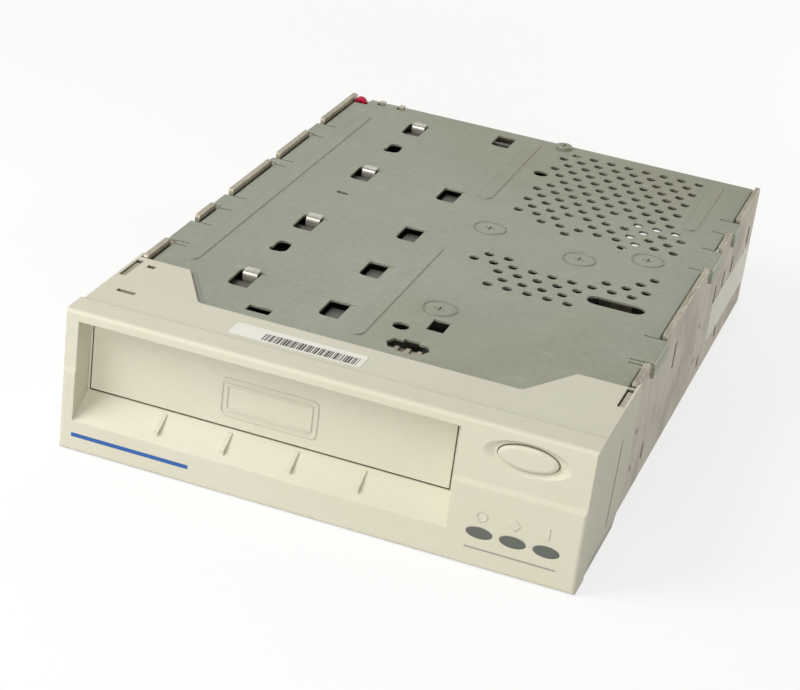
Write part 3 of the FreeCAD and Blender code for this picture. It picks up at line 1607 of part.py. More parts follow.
keep("head_yoke", headYoke())
keep("guide_rods", guideRods())
keep("head_carriage", headCarriage())
keep("magnetic_head", magneticHead())
for name, (lever_x, lever_depth) in zip(("cartridge_lever", "protect_lever"), lever_places):
    keep(name, sensorLever(lever_x, at(lever_depth)))
keep("lever_pins", leverPins())
keep("flag_sensors", flagSensors())
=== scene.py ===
import json
import math
import random

import bmesh
import bpy
from mathutils import Matrix, Vector


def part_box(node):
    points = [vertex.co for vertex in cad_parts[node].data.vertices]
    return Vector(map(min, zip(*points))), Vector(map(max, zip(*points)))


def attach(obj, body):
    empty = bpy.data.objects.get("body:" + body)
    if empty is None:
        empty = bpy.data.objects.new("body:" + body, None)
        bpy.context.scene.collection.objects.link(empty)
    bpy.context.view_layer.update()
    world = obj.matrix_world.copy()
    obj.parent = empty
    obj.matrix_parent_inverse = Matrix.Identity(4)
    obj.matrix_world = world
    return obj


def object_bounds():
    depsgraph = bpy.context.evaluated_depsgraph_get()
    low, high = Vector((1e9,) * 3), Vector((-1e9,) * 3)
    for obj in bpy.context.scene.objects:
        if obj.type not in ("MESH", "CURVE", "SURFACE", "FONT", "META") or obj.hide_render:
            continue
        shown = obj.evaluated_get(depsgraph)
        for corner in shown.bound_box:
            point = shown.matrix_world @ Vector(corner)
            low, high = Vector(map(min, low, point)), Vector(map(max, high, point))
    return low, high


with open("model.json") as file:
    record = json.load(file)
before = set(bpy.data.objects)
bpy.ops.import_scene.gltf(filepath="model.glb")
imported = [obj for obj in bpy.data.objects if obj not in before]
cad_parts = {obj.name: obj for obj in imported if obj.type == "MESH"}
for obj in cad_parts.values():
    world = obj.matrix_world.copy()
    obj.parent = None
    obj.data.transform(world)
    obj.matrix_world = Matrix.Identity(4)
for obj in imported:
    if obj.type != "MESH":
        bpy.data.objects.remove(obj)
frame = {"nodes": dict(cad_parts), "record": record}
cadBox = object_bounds()  # the drive's real box, taken before anything else is added
nodes = frame["nodes"]
subparts = frame["record"]["subparts"]
mm = 0.001
print("frame loaded:", len(nodes), "nodes")

scene = bpy.context.scene
scene.view_settings.view_transform = "Standard"


# small helpers that build shader trees

def groupTree(name, inputs, outputs):
    # a node group with named sockets: inputs are (name, kind, value), outputs are (name, kind)
    tree = bpy.data.node_groups.new(name, "ShaderNodeTree")
    for label, kind, value in inputs:
        socket = tree.interface.new_socket(label, in_out="INPUT", socket_type="NodeSocket" + kind)
        socket.default_value = value
    for label, kind in outputs:
        tree.interface.new_socket(label, in_out="OUTPUT", socket_type="NodeSocket" + kind)
    entry = tree.nodes.new("NodeGroupInput")
    leave = tree.nodes.new("NodeGroupOutput")
    return tree, entry, leave


def addNode(tree, kind, settings=None, **values):
    node = tree.nodes.new("ShaderNode" + kind)
    for key, value in (settings or {}).items():
        setattr(node, key, value)
    for key, value in values.items():
        node.inputs[key.replace("_", " ")].default_value = value
    return node


def joinUp(tree, source, target):
    tree.links.new(source, target)


def mathNode(tree, operation, first, second=None, clamp=False):
    node = addNode(tree, "Math", {"operation": operation, "use_clamp": clamp})
    for place, value in enumerate((first, second)):
        if value is None:
            continue
        if isinstance(value, (int, float)):
            node.inputs[place].default_value = value
        else:
            joinUp(tree, value, node.inputs[place])
    return node.outputs[0]


def rangeNode(tree, value, low, high, toLow=0.0, toHigh=1.0, smooth=False):
    node = addNode(tree, "MapRange", {"interpolation_type": "SMOOTHSTEP" if smooth else "LINEAR"})
    joinUp(tree, value, node.inputs["Value"])
    for key, amount in (("From Min", low), ("From Max", high), ("To Min", toLow), ("To Max", toHigh)):
        node.inputs[key].default_value = amount
    return node.outputs["Result"]


def mixColors(tree, factor, first, second):
    # the colour sockets of a Mix node are its seventh and eighth
    node = addNode(tree, "Mix", {"data_type": "RGBA", "blend_type": "MIX", "clamp_factor": True})
    for key, value in ((0, factor), (6, first), (7, second)):
        if isinstance(value, (int, float)):
            node.inputs[key].default_value = value
        elif isinstance(value, tuple):
            node.inputs[key].default_value = (*value, 1.0)
        else:
            joinUp(tree, value, node.inputs[key])
    return node.outputs[2]


# effects that several finishes share, each built once as a node group; pairs are (from, to)
effectLook = {
    "speckHeights": (0.56, 0.7),
    "wearAndHighlightPatches": (0.35, 0.65),
    "wearAndHighlightShares": (0.3, 1.6),
    "shutOpenness": (0.2, 1.0),
    "dustSlopes": (0.35, 0.95),
    "dustDrifts": (0.38, 0.72),
    "hairlineHeights": (0.735, 0.79),
    "hairlineCourses": ((0.5, (2600.0, 26.0, 60.0)), (-0.9, (2100.0, 34.0, 60.0))),
    "scuffCore": (0.02, 0.2),
    "scuffEdgeScale": 1400.0,
    "scuffEdge": (0.42, 0.62),
}


def makeMottle():
    # slow cloudy change of tone, as on zinc or on aged plastic
    tree, entry, leave = groupTree(
        "CloudyTone",
        [("Scale", "Float", 40.0), ("Contrast", "Float", 1.0)],
        [("Tone", "Float")],
    )
    spot = addNode(tree, "TexCoord")
    broad = addNode(tree, "TexNoise", Detail=4.0, Roughness=0.55)
    joinUp(tree, spot.outputs["Object"], broad.inputs["Vector"])
    joinUp(tree, entry.outputs["Scale"], broad.inputs["Scale"])
    centred = mathNode(tree, "SUBTRACT", broad.outputs["Fac"], 0.5)
    wide = mathNode(tree, "MULTIPLY", centred, entry.outputs["Contrast"])
    joinUp(tree, mathNode(tree, "ADD", wide, 0.5, clamp=True), leave.inputs["Tone"])
    return tree


def makeGrain():
    # fine pebbled skin of a moulding or of blasted metal, with the tips as separate specks
    tree, entry, leave = groupTree(
        "FineGrain",
        [("Scale", "Float", 2500.0), ("Softness", "Float", 0.5)],
        [("Height", "Float"), ("Speck", "Float")],
    )
    spot = addNode(tree, "TexCoord")
    pebble = addNode(tree, "TexNoise", Detail=2.0)
    joinUp(tree, spot.outputs["Object"], pebble.inputs["Vector"])
    joinUp(tree, entry.outputs["Scale"], pebble.inputs["Scale"])
    joinUp(tree, entry.outputs["Softness"], pebble.inputs["Roughness"])
    joinUp(tree, pebble.outputs["Fac"], leave.inputs["Height"])
    tips = rangeNode(tree, pebble.outputs["Fac"], *effectLook["speckHeights"], smooth=True)
    joinUp(tree, tips, leave.inputs["Speck"])
    return tree


def makeStreaks():
    # long thin marks of rolling or brushing, drawn out along one direction
    tree, entry, leave = groupTree(
        "RolledStreaks",
        [("Stretch", "Vector", (900.0, 12.0, 900.0)), ("Contrast", "Float", 1.0)],
        [("Streak", "Float")],
    )
    spot = addNode(tree, "TexCoord")
    drawn = addNode(tree, "VectorMath", {"operation": "MULTIPLY"})
    joinUp(tree, spot.outputs["Object"], drawn.inputs[0])
    joinUp(tree, entry.outputs["Stretch"], drawn.inputs[1])
    lines = addNode(tree, "TexNoise", Scale=1.0, Detail=5.0, Roughness=0.6)
    joinUp(tree, drawn.outputs["Vector"], lines.inputs["Vector"])
    centred = mathNode(tree, "SUBTRACT", lines.outputs["Fac"], 0.5)
    wide = mathNode(tree, "MULTIPLY", centred, entry.outputs["Contrast"])
    joinUp(tree, mathNode(tree, "ADD", wide, 0.5, clamp=True), leave.inputs["Streak"])
    return tree


def makeEdgeWearAndHighlight():
    # mask along the outer edges, broken up by noise, for edge wear and a painted highlight, with the
    # softened normal beside it
    tree, entry, leave = groupTree(
        "EdgeWearAndHighlight",
        [("Radius", "Float", 0.0004), ("Patchiness", "Float", 300.0), ("Reach", "Float", 0.5)],
        [("Mask", "Float"), ("Soft Normal", "Vector")],
    )
    rounded = addNode(tree, "Bevel", {"samples": 6})
    joinUp(tree, entry.outputs["Radius"], rounded.inputs["Radius"])
    facing = addNode(tree, "NewGeometry")
    dot = addNode(tree, "VectorMath", {"operation": "DOT_PRODUCT"})
    joinUp(tree, rounded.outputs["Normal"], dot.inputs[0])
    joinUp(tree, facing.outputs["True Normal"], dot.inputs[1])
    turned = mathNode(tree, "SUBTRACT", 1.0, dot.outputs["Value"])
    spot = addNode(tree, "TexCoord")
    patchy = addNode(tree, "TexNoise", Detail=3.0, Roughness=0.6)
    joinUp(tree, spot.outputs["Object"], patchy.inputs["Vector"])
    joinUp(tree, entry.outputs["Patchiness"], patchy.inputs["Scale"])
    patches = rangeNode(tree, patchy.outputs["Fac"], *effectLook["wearAndHighlightPatches"], *effectLook["wearAndHighlightShares"])
    broken = mathNode(tree, "MULTIPLY", turned, patches)
    reached = mathNode(tree, "DIVIDE", broken, entry.outputs["Reach"], clamp=True)
    joinUp(tree, reached, leave.inputs["Mask"])
    joinUp(tree, rounded.outputs["Normal"], leave.inputs["Soft Normal"])
    return tree


def makeCreviceShade():
    # painted shade that darkens slots, joints and inner corners, where little light reaches
    tree, entry, leave = groupTree(
        "CreviceShade",
        [("Distance", "Float", 0.002), ("Open Above", "Float", 0.6), ("Amount", "Float", 0.6)],
        [("Shade", "Float")],
    )
    aired = addNode(tree, "AmbientOcclusion", {"samples": 4})
    joinUp(tree, entry.outputs["Distance"], aired.inputs["Distance"])
    openness = mathNode(tree, "DIVIDE", aired.outputs["AO"], entry.outputs["Open Above"])
    shut = rangeNode(tree, openness, *effectLook["shutOpenness"], 1.0, 0.0)
    paintedShade = mathNode(tree, "MULTIPLY", shut, entry.outputs["Amount"], clamp=True)
    joinUp(tree, paintedShade, leave.inputs["Shade"])
    return tree


def makeDust():
    # pale dust that has settled on faces that look up
    tree, entry, leave = groupTree(
        "SettledDust",
        [("Scale", "Float", 120.0), ("Amount", "Float", 0.5)],
        [("Dust", "Float")],
    )
    facing = addNode(tree, "NewGeometry")
    split = addNode(tree, "SeparateXYZ")
    joinUp(tree, facing.outputs["Normal"], split.inputs[0])
    upward = rangeNode(tree, split.outputs["Z"], *effectLook["dustSlopes"], smooth=True)
    spot = addNode(tree, "TexCoord")
    drift = addNode(tree, "TexNoise", Detail=6.0, Roughness=0.65)
    joinUp(tree, spot.outputs["Object"], drift.inputs["Vector"])
    joinUp(tree, entry.outputs["Scale"], drift.inputs["Scale"])
    drifted = rangeNode(tree, drift.outputs["Fac"], *effectLook["dustDrifts"], smooth=True)
    heaped = mathNode(tree, "MULTIPLY", upward, drifted)
    dust = mathNode(tree, "MULTIPLY", heaped, entry.outputs["Amount"], clamp=True)
    joinUp(tree, dust, leave.inputs["Dust"])
    return tree


def makeScratches():
    # sparse hairlines in two slanted directions
    tree, entry, leave = groupTree(
        "Hairlines",
        [("Density", "Float", 0.5), ("Scale", "Float", 1.0)],
        [("Line", "Float")],
    )
    spot = addNode(tree, "TexCoord")
    made = []
    for turn, stretch in effectLook["hairlineCourses"]:
        turned = addNode(tree, "VectorRotate", {"rotation_type": "Z_AXIS"}, Angle=turn)
        joinUp(tree, spot.outputs["Object"], turned.inputs["Vector"])
        drawn = addNode(tree, "VectorMath", {"operation": "MULTIPLY"})
        joinUp(tree, turned.outputs["Vector"], drawn.inputs[0])
        drawn.inputs[1].default_value = stretch
        sized = addNode(tree, "VectorMath", {"operation": "SCALE"})
        joinUp(tree, drawn.outputs["Vector"], sized.inputs[0])
        joinUp(tree, entry.outputs["Scale"], sized.inputs["Scale"])
        lines = addNode(tree, "TexNoise", Scale=1.0, Detail=1.0)
        joinUp(tree, sized.outputs["Vector"], lines.inputs["Vector"])
        made.append(rangeNode(tree, lines.outputs["Fac"], *effectLook["hairlineHeights"]))
    both = mathNode(tree, "MAXIMUM", made[0], made[1])
    line = mathNode(tree, "MULTIPLY", both, entry.outputs["Density"], clamp=True)
    joinUp(tree, line, leave.inputs["Line"])
    return tree


def makeScuffs():
    # small rubbed patches where a tool or a neighbour has touched the sheet
    tree, entry, leave = groupTree(
        "RubbedPatches",
        [("Scale", "Float", 90.0), ("Cover", "Float", 0.5)],
        [("Scuff", "Float")],
    )
    spot = addNode(tree, "TexCoord")
    cells = addNode(tree, "TexVoronoi", Randomness=1.0)
    joinUp(tree, spot.outputs["Object"], cells.inputs["Vector"])
    joinUp(tree, entry.outputs["Scale"], cells.inputs["Scale"])
    core = rangeNode(tree, cells.outputs["Distance"], *effectLook["scuffCore"], 1.0, 0.0)
    ragged = addNode(tree, "TexNoise", Scale=effectLook["scuffEdgeScale"], Detail=4.0, Roughness=0.7)
    joinUp(tree, spot.outputs["Object"], ragged.inputs["Vector"])
    torn = mathNode(tree, "MULTIPLY", core, rangeNode(tree, ragged.outputs["Fac"], *effectLook["scuffEdge"]))
    scuff = mathNode(tree, "MULTIPLY", torn, entry.outputs["Cover"], clamp=True)
    joinUp(tree, scuff, leave.inputs["Scuff"])
    return tree


effects = {
    "mottle": makeMottle(),
    "grain": makeGrain(),
    "streaks": makeStreaks(),
    # lighter edges: wear with a painted highlight
    "edgeWearAndHighlight": makeEdgeWearAndHighlight(),
    # painted shade for crevices, slots and inner corners
    "creviceShade": makeCreviceShade(),
    "dust": makeDust(),
    "scratches": makeScratches(),
    "scuffs": makeScuffs(),
}
print("effect groups built:", len(effects))


def useEffect(tree, name, **values):
    node = tree.nodes.new("ShaderNodeGroup")
    node.node_tree = effects[name]
    for key, value in values.items():
        node.inputs[key.replace("_", " ")].default_value = value
    return node


def startFinish(name, **constants):
    # a new material with one shader; what is the same all over is set on the shader itself
    material = bpy.data.materials.new(name)
    material.use_nodes = True
    tree = material.node_tree
    tree.nodes.clear()
    leave = tree.nodes.new("ShaderNodeOutputMaterial")
    shader = tree.nodes.new("ShaderNodeBsdfPrincipled")
    joinUp(tree, shader.outputs["BSDF"], leave.inputs["Surface"])
    for key, value in constants.items():
        shader.inputs[key.replace("_", " ")].default_value = value
    return material, tree, shader


def reliefOn(tree, shader, layers, base=None):
    # bumps laid on each other: each layer is (height socket, distance in metres, strength)
    normal = base
    for height, distance, strength in layers:
        bump = addNode(tree, "Bump", Strength=strength, Distance=distance)
        joinUp(tree, height, bump.inputs["Height"])
        if normal is not None:
            joinUp(tree, normal, bump.inputs["Normal"])
        normal = bump.outputs["Normal"]
    joinUp(tree, normal, shader.inputs["Normal"])


# the moulded front: ivory plastic with a spark-eroded skin, a little yellowed
bezelLook = {
    "color": (0.70, 0.685, 0.575),
    "aged": (0.665, 0.635, 0.50),
    # paler edges: wear with a painted highlight
    "edge": (0.78, 0.765, 0.675),
    "dust": (0.60, 0.585, 0.52),
    # the dark tone of the painted shade in crevices and slots
    "paintedShade": (0.085, 0.075, 0.055),
    # depth behind the front past which the strong painted shade of the shelf's slots comes in
    "rimDepth": 12.5 * mm,
    "rimFade": 1.0 * mm,
    "grainDepth": 0.16 * mm,
    "grainStrength": 0.45,
    "glint": 0.22,
    "roughness": (0.60, 0.48),
    "blotchShares": (0.0, 0.10),
    "wearAndHighlightShare": 0.5,
    "cloud": {"Scale": 22.0, "Contrast": 1.6},
    "blotch": {"Scale": 480.0, "Contrast": 1.2},
    "grain": {"Scale": 2300.0, "Softness": 0.55},
    "wearAndHighlight": {"Radius": 0.5 * mm, "Patchiness": 240.0, "Reach": 0.45},
    "settled": {"Scale": 160.0, "Amount": 0.2},
    # painted shade: light in the front's crevices, strong in the slots behind the rim
    "frontShade": {"Distance": 1.4 * mm, "Open_Above": 0.5, "Amount": 0.45},
    "slotShade": {"Distance": 4.0 * mm, "Open_Above": 0.95, "Amount": 1.0},
}


def bezelPlastic():
    look = bezelLook
    material, tree, shader = startFinish("IvoryMoulding", Specular_IOR_Level=0.45)
    cloud = useEffect(tree, "mottle", **look["cloud"])
    blotch = useEffect(tree, "mottle", **look["blotch"])
    grain = useEffect(tree, "grain", **look["grain"])
    wearAndHighlight = useEffect(tree, "edgeWearAndHighlight", **look["wearAndHighlight"])
    dust = useEffect(tree, "dust", **look["settled"])
    # painted shade in the front's crevices and, stronger, in the slots behind the rim
    frontShade = useEffect(tree, "creviceShade", **look["frontShade"])
    slotShade = useEffect(tree, "creviceShade", **look["slotShade"])
    spot = addNode(tree, "TexCoord")
    split = addNode(tree, "SeparateXYZ")
    joinUp(tree, spot.outputs["Object"], split.inputs[0])
    rimEnd = cadBox[0].y + look["rimDepth"]
    behindRim = rangeNode(tree, split.outputs["Y"], rimEnd, rimEnd + look["rimFade"])
    aged = mixColors(tree, cloud.outputs["Tone"], look["color"], look["aged"])
    spotty = rangeNode(tree, blotch.outputs["Tone"], 0.3, 0.8, *look["blotchShares"])
    blotched = mixColors(tree, spotty, aged, look["dust"])
    # edges lightened: wear with a painted highlight
    rubbedAndLit = mathNode(tree, "MULTIPLY", wearAndHighlight.outputs["Mask"], look["wearAndHighlightShare"])
    wornAndLit = mixColors(tree, rubbedAndLit, blotched, look["edge"])
    dusty = mixColors(tree, dust.outputs["Dust"], wornAndLit, look["dust"])
    # the painted shade is laid on last, first in the front's crevices, then in the slots behind the rim
    shadedFront = mixColors(tree, frontShade.outputs["Shade"], dusty, look["paintedShade"])
    slotShare = mathNode(tree, "MULTIPLY", slotShade.outputs["Shade"], behindRim)
    joinUp(tree, mixColors(tree, slotShare, shadedFront, look["paintedShade"]), shader.inputs["Base Color"])
    glint = mathNode(tree, "MULTIPLY", grain.outputs["Speck"], look["glint"])
    matt = rangeNode(tree, grain.outputs["Height"], 0.3, 0.7, *look["roughness"])
    joinUp(tree, mathNode(tree, "SUBTRACT", matt, glint), shader.inputs["Roughness"])
    layers = [(grain.outputs["Height"], look["grainDepth"], look["grainStrength"])]
    reliefOn(tree, shader, layers, wearAndHighlight.outputs["Soft Normal"])
    return material


# the cover: zinc-plated sheet with a faint greenish chromate, rolled along its length
coverLook = {
    "color": (0.322, 0.346, 0.272),
    "cool": (0.368, 0.396, 0.326),
    "warm": (0.305, 0.303, 0.222),
    "stain": (0.235, 0.245, 0.185),
    # paler edges: worn zinc with a painted highlight along edges and bead sides
    "edge": (0.66, 0.66, 0.60),
    # the dark tone of the painted shade in crevices
    "paintedShade": (0.045, 0.042, 0.032),
    "metallic": 0.35,
    "roughness": (0.38, 0.50),
    "streakRoughness": 0.09,
    "warmShare": 0.7,
    "stainShare": 0.34,
    "lineShare": 0.35,
    "scuffShare": 0.4,
    "wearAndHighlightShare": 0.7,
    "reliefDepth": 0.03 * mm,
    "cloud": {"Scale": 26.0, "Contrast": 2.2},
    "drift": {"Scale": 9.0, "Contrast": 2.4},
    "spangle": {"Scale": 420.0, "Contrast": 1.5},
    "rolling": {"Stretch": (1400.0, 22.0, 1400.0), "Contrast": 1.0},
    "wearAndHighlight": {"Radius": 0.24 * mm, "Patchiness": 420.0, "Reach": 0.38},
    "lines": {"Density": 0.6, "Scale": 1.0},
    "scuff": {"Scale": 70.0, "Cover": 0.55},
    # painted shade in crevices
    "creviceShade": {"Distance": 0.8 * mm, "Open_Above": 0.45, "Amount": 0.45},
    "grain": {"Scale": 5200.0, "Softness": 0.6},
}


def coverSteel():
    look = coverLook
    material, tree, shader = startFinish("ZincSheet", Metallic=look["metallic"], Specular_IOR_Level=0.5)
    cloud = useEffect(tree, "mottle", **look["cloud"])
    drift = useEffect(tree, "mottle", **look["drift"])
    spangle = useEffect(tree, "mottle", **look["spangle"])
    streak = useEffect(tree, "streaks", **look["rolling"])
    wearAndHighlight = useEffect(tree, "edgeWearAndHighlight", **look["wearAndHighlight"])
    lines = useEffect(tree, "scratches", **look["lines"])
    scuff = useEffect(tree, "scuffs", **look["scuff"])
    paintedShade = useEffect(tree, "creviceShade", **look["creviceShade"])
    grain = useEffect(tree, "grain", **look["grain"])
    painted = mixColors(tree, cloud.outputs["Tone"], look["color"], look["cool"])
    warmth = rangeNode(tree, drift.outputs["Tone"], 0.45, 0.95, 0.0, look["warmShare"])
    painted = mixColors(tree, warmth, painted, look["warm"])
    spotted = rangeNode(tree, spangle.outputs["Tone"], 0.3, 0.9, 0.0, look["stainShare"])
    painted = mixColors(tree, spotted, painted, look["stain"])
    bright = (
        (lines.outputs["Line"], look["lineShare"]),
        (scuff.outputs["Scuff"], look["scuffShare"]),
        # the last of these is wear with a painted highlight on the edges
        (wearAndHighlight.outputs["Mask"], look["wearAndHighlightShare"]),
    )
    for mask, share in bright:
        painted = mixColors(tree, mathNode(tree, "MULTIPLY", mask, share), painted, look["edge"])
    # painted shade darkens the crevices
    painted = mixColors(tree, paintedShade.outputs["Shade"], painted, look["paintedShade"])
    joinUp(tree, painted, shader.inputs["Base Color"])
    cloudy = rangeNode(tree, cloud.outputs["Tone"], 0.2, 0.8, *look["roughness"])
    streaky = mathNode(tree, "MULTIPLY", streak.outputs["Streak"], look["streakRoughness"])
    joinUp(tree, mathNode(tree, "ADD", cloudy, streaky), shader.inputs["Roughness"])
    deep = look["reliefDepth"]
    layers = [(streak.outputs["Streak"], deep, 0.25), (grain.outputs["Height"], deep, 0.3)]
    reliefOn(tree, shader, layers, wearAndHighlight.outputs["Soft Normal"])
    return material


# the tray and the other folded brackets: brushed sheet, browned by handling, bright where cut, with a
# painted highlight along its edges
chassisLook = {
    "color": (0.375, 0.335, 0.250),
    "pale": (0.60, 0.555, 0.440),
    "dark": (0.235, 0.195, 0.130),
    # near-white edges: bright cut steel with a painted highlight
    "edge": (0.86, 0.85, 0.78),
    # the dark tone of the painted shade in slots and crevices
    "paintedShade": (0.05, 0.042, 0.03),
    "metallic": 0.35,
    "roughness": (0.36, 0.52),
    "brushShare": 0.35,
    "cloudShare": 0.55,
    "brushDepth": 0.04 * mm,
    "grainDepth": 0.03 * mm,
    "cloud": {"Scale": 46.0, "Contrast": 3.2},
    "rolling": {"Stretch": (900.0, 900.0, 46.0), "Contrast": 2.4},
    "brushing": {"Stretch": (3200.0, 3200.0, 110.0), "Contrast": 2.8},
    "wearAndHighlight": {"Radius": 0.35 * mm, "Patchiness": 180.0, "Reach": 0.26},
    # painted shade in slots and crevices
    "creviceShade": {"Distance": 1.8 * mm, "Open_Above": 0.6, "Amount": 0.8},
    "grain": {"Scale": 4200.0, "Softness": 0.6},
}


def chassisSteel():
    look = chassisLook
    material, tree, shader = startFinish("RolledSheet", Metallic=look["metallic"], Specular_IOR_Level=0.5)
    cloud = useEffect(tree, "mottle", **look["cloud"])
    streak = useEffect(tree, "streaks", **look["rolling"])
    brush = useEffect(tree, "streaks", **look["brushing"])
    wearAndHighlight = useEffect(tree, "edgeWearAndHighlight", **look["wearAndHighlight"])
    paintedShade = useEffect(tree, "creviceShade", **look["creviceShade"])
    grain = useEffect(tree, "grain", **look["grain"])
    painted = mixColors(tree, streak.outputs["Streak"], look["color"], look["pale"])
    brushed = rangeNode(tree, brush.outputs["Streak"], 0.5, 1.0, 0.0, look["brushShare"])
    painted = mixColors(tree, brushed, painted, look["dark"])
    clouded = rangeNode(tree, cloud.outputs["Tone"], 0.5, 1.0, 0.0, look["cloudShare"])
    painted = mixColors(tree, clouded, painted, look["dark"])
    # edges lightened: cut steel with a painted highlight
    painted = mixColors(tree, wearAndHighlight.outputs["Mask"], painted, look["edge"])
    # painted shade darkens slots and crevices
    painted = mixColors(tree, paintedShade.outputs["Shade"], painted, look["paintedShade"])
    joinUp(tree, painted, shader.inputs["Base Color"])
    matt = rangeNode(tree, brush.outputs["Streak"], 0.2, 0.8, *look["roughness"])
    joinUp(tree, matt, shader.inputs["Roughness"])
    layers = [
        (brush.outputs["Streak"], look["brushDepth"], 0.4),
        (grain.outputs["Height"], look["grainDepth"], 0.2),
    ]
    reliefOn(tree, shader, layers, wearAndHighlight.outputs["Soft Normal"])
    return material


# hooks, screws, pins and rods: nickel-bright steel
brightLook = {
    "color": (0.62, 0.61, 0.555),
    "dull": (0.43, 0.42, 0.37),
    # paler edges: wear with a painted highlight
    "edge": (0.74, 0.73, 0.68),
    "metallic": 0.75,
    "roughness": (0.30, 0.44),
    "wearAndHighlightShare": 0.6,
    "reliefDepth": 0.03 * mm,
    "cloud": {"Scale": 220.0, "Contrast": 1.8},
    "wearAndHighlight": {"Radius": 0.2 * mm, "Patchiness": 700.0, "Reach": 0.5},
}


def brightSteel():
    look = brightLook
    material, tree, shader = startFinish("BrightPlate", Metallic=look["metallic"])
    cloud = useEffect(tree, "mottle", **look["cloud"])
    wearAndHighlight = useEffect(tree, "edgeWearAndHighlight", **look["wearAndHighlight"])
    toned = mixColors(tree, cloud.outputs["Tone"], look["color"], look["dull"])
    # edges lightened: wear with a painted highlight
    rubbedAndLit = mathNode(tree, "MULTIPLY", wearAndHighlight.outputs["Mask"], look["wearAndHighlightShare"])
    joinUp(tree, mixColors(tree, rubbedAndLit, toned, look["edge"]), shader.inputs["Base Color"])
    matt = rangeNode(tree, cloud.outputs["Tone"], 0.2, 0.8, *look["roughness"])
    joinUp(tree, matt, shader.inputs["Roughness"])
    reliefOn(tree, shader, [(cloud.outputs["Tone"], look["reliefDepth"], 0.2)], wearAndHighlight.outputs["Soft Normal"])
    return material


# the boards: lacquer over copper runs, with tinned pads on the usual tenth-inch grid
boardLook = {
    "lacquer": (0.018, 0.105, 0.048),
    "run": (0.035, 0.185, 0.085),
    "tin": (0.55, 0.55, 0.50),
    "pitch": 2.54 * mm,
    "runScale": 330.0,
    "runWidth": 0.12,
    "runEdge": (0.045, 0.06),
    "padRadius": 0.24,
    "padEdge": 0.04,
    "padGroups": (0.62, 0.66),
    "padMetallic": 0.9,
    "roughness": (0.38, 0.28),
    "copperRise": 0.04 * mm,
    "patch": {"Scale": 95.0, "Contrast": 4.0},
    "wearAndHighlight": {"Radius": 0.15 * mm, "Patchiness": 600.0, "Reach": 0.5},
}


def boardLacquer():
    look = boardLook
    material, tree, shader = startFinish("BoardLacquer", Coat_Weight=0.4, Coat_Roughness=0.15)
    spot = addNode(tree, "TexCoord")
    cells = addNode(tree, "TexVoronoi", {"feature": "F1", "distance": "CHEBYCHEV"}, Scale=look["runScale"])
    joinUp(tree, spot.outputs["Object"], cells.inputs["Vector"])
    folded = mathNode(tree, "PINGPONG", cells.outputs["Distance"], look["runWidth"])
    runs = rangeNode(tree, folded, *look["runEdge"])
    split = addNode(tree, "SeparateXYZ")
    joinUp(tree, spot.outputs["Object"], split.inputs[0])
    offCentre = []
    for axis in ("X", "Y"):
        turns = mathNode(tree, "DIVIDE", split.outputs[axis], look["pitch"])
        across = mathNode(tree, "SUBTRACT", mathNode(tree, "FLOORED_MODULO", turns, 1.0), 0.5)
        offCentre.append(mathNode(tree, "MULTIPLY", across, across))
    away = mathNode(tree, "SQRT", mathNode(tree, "ADD", offCentre[0], offCentre[1]))
    dots = rangeNode(tree, away, look["padRadius"], look["padRadius"] - look["padEdge"])
    patch = useEffect(tree, "mottle", **look["patch"])
    pads = mathNode(tree, "MULTIPLY", dots, rangeNode(tree, patch.outputs["Tone"], *look["padGroups"]))
    wearAndHighlight = useEffect(tree, "edgeWearAndHighlight", **look["wearAndHighlight"])
    copper = mixColors(tree, runs, look["lacquer"], look["run"])
    joinUp(tree, mixColors(tree, pads, copper, look["tin"]), shader.inputs["Base Color"])
    joinUp(tree, rangeNode(tree, pads, 0.0, 1.0, *look["roughness"]), shader.inputs["Roughness"])
    joinUp(tree, mathNode(tree, "MULTIPLY", pads, look["padMetallic"]), shader.inputs["Metallic"])
    raised = mathNode(tree, "MAXIMUM", runs, pads)
    reliefOn(tree, shader, [(raised, look["copperRise"], 0.5)], wearAndHighlight.outputs["Soft Normal"])
    return material


# the small moulded, cast and turned parts: what they all share
smallPartLook = {
    "metallic": 0.0,
    "bevel": 0.2 * mm,
    "cloudShare": 0.35,
    "wearAndHighlightShare": 0.5,
    "roughnessSpread": 0.05,
    "grainDepth": 0.04 * mm,
    "cloud": {"Scale": 90.0, "Contrast": 1.5},
    "grain": {"Scale": 3200.0, "Softness": 0.5},
    "wearAndHighlight": {"Patchiness": 500.0, "Reach": 0.5},
}

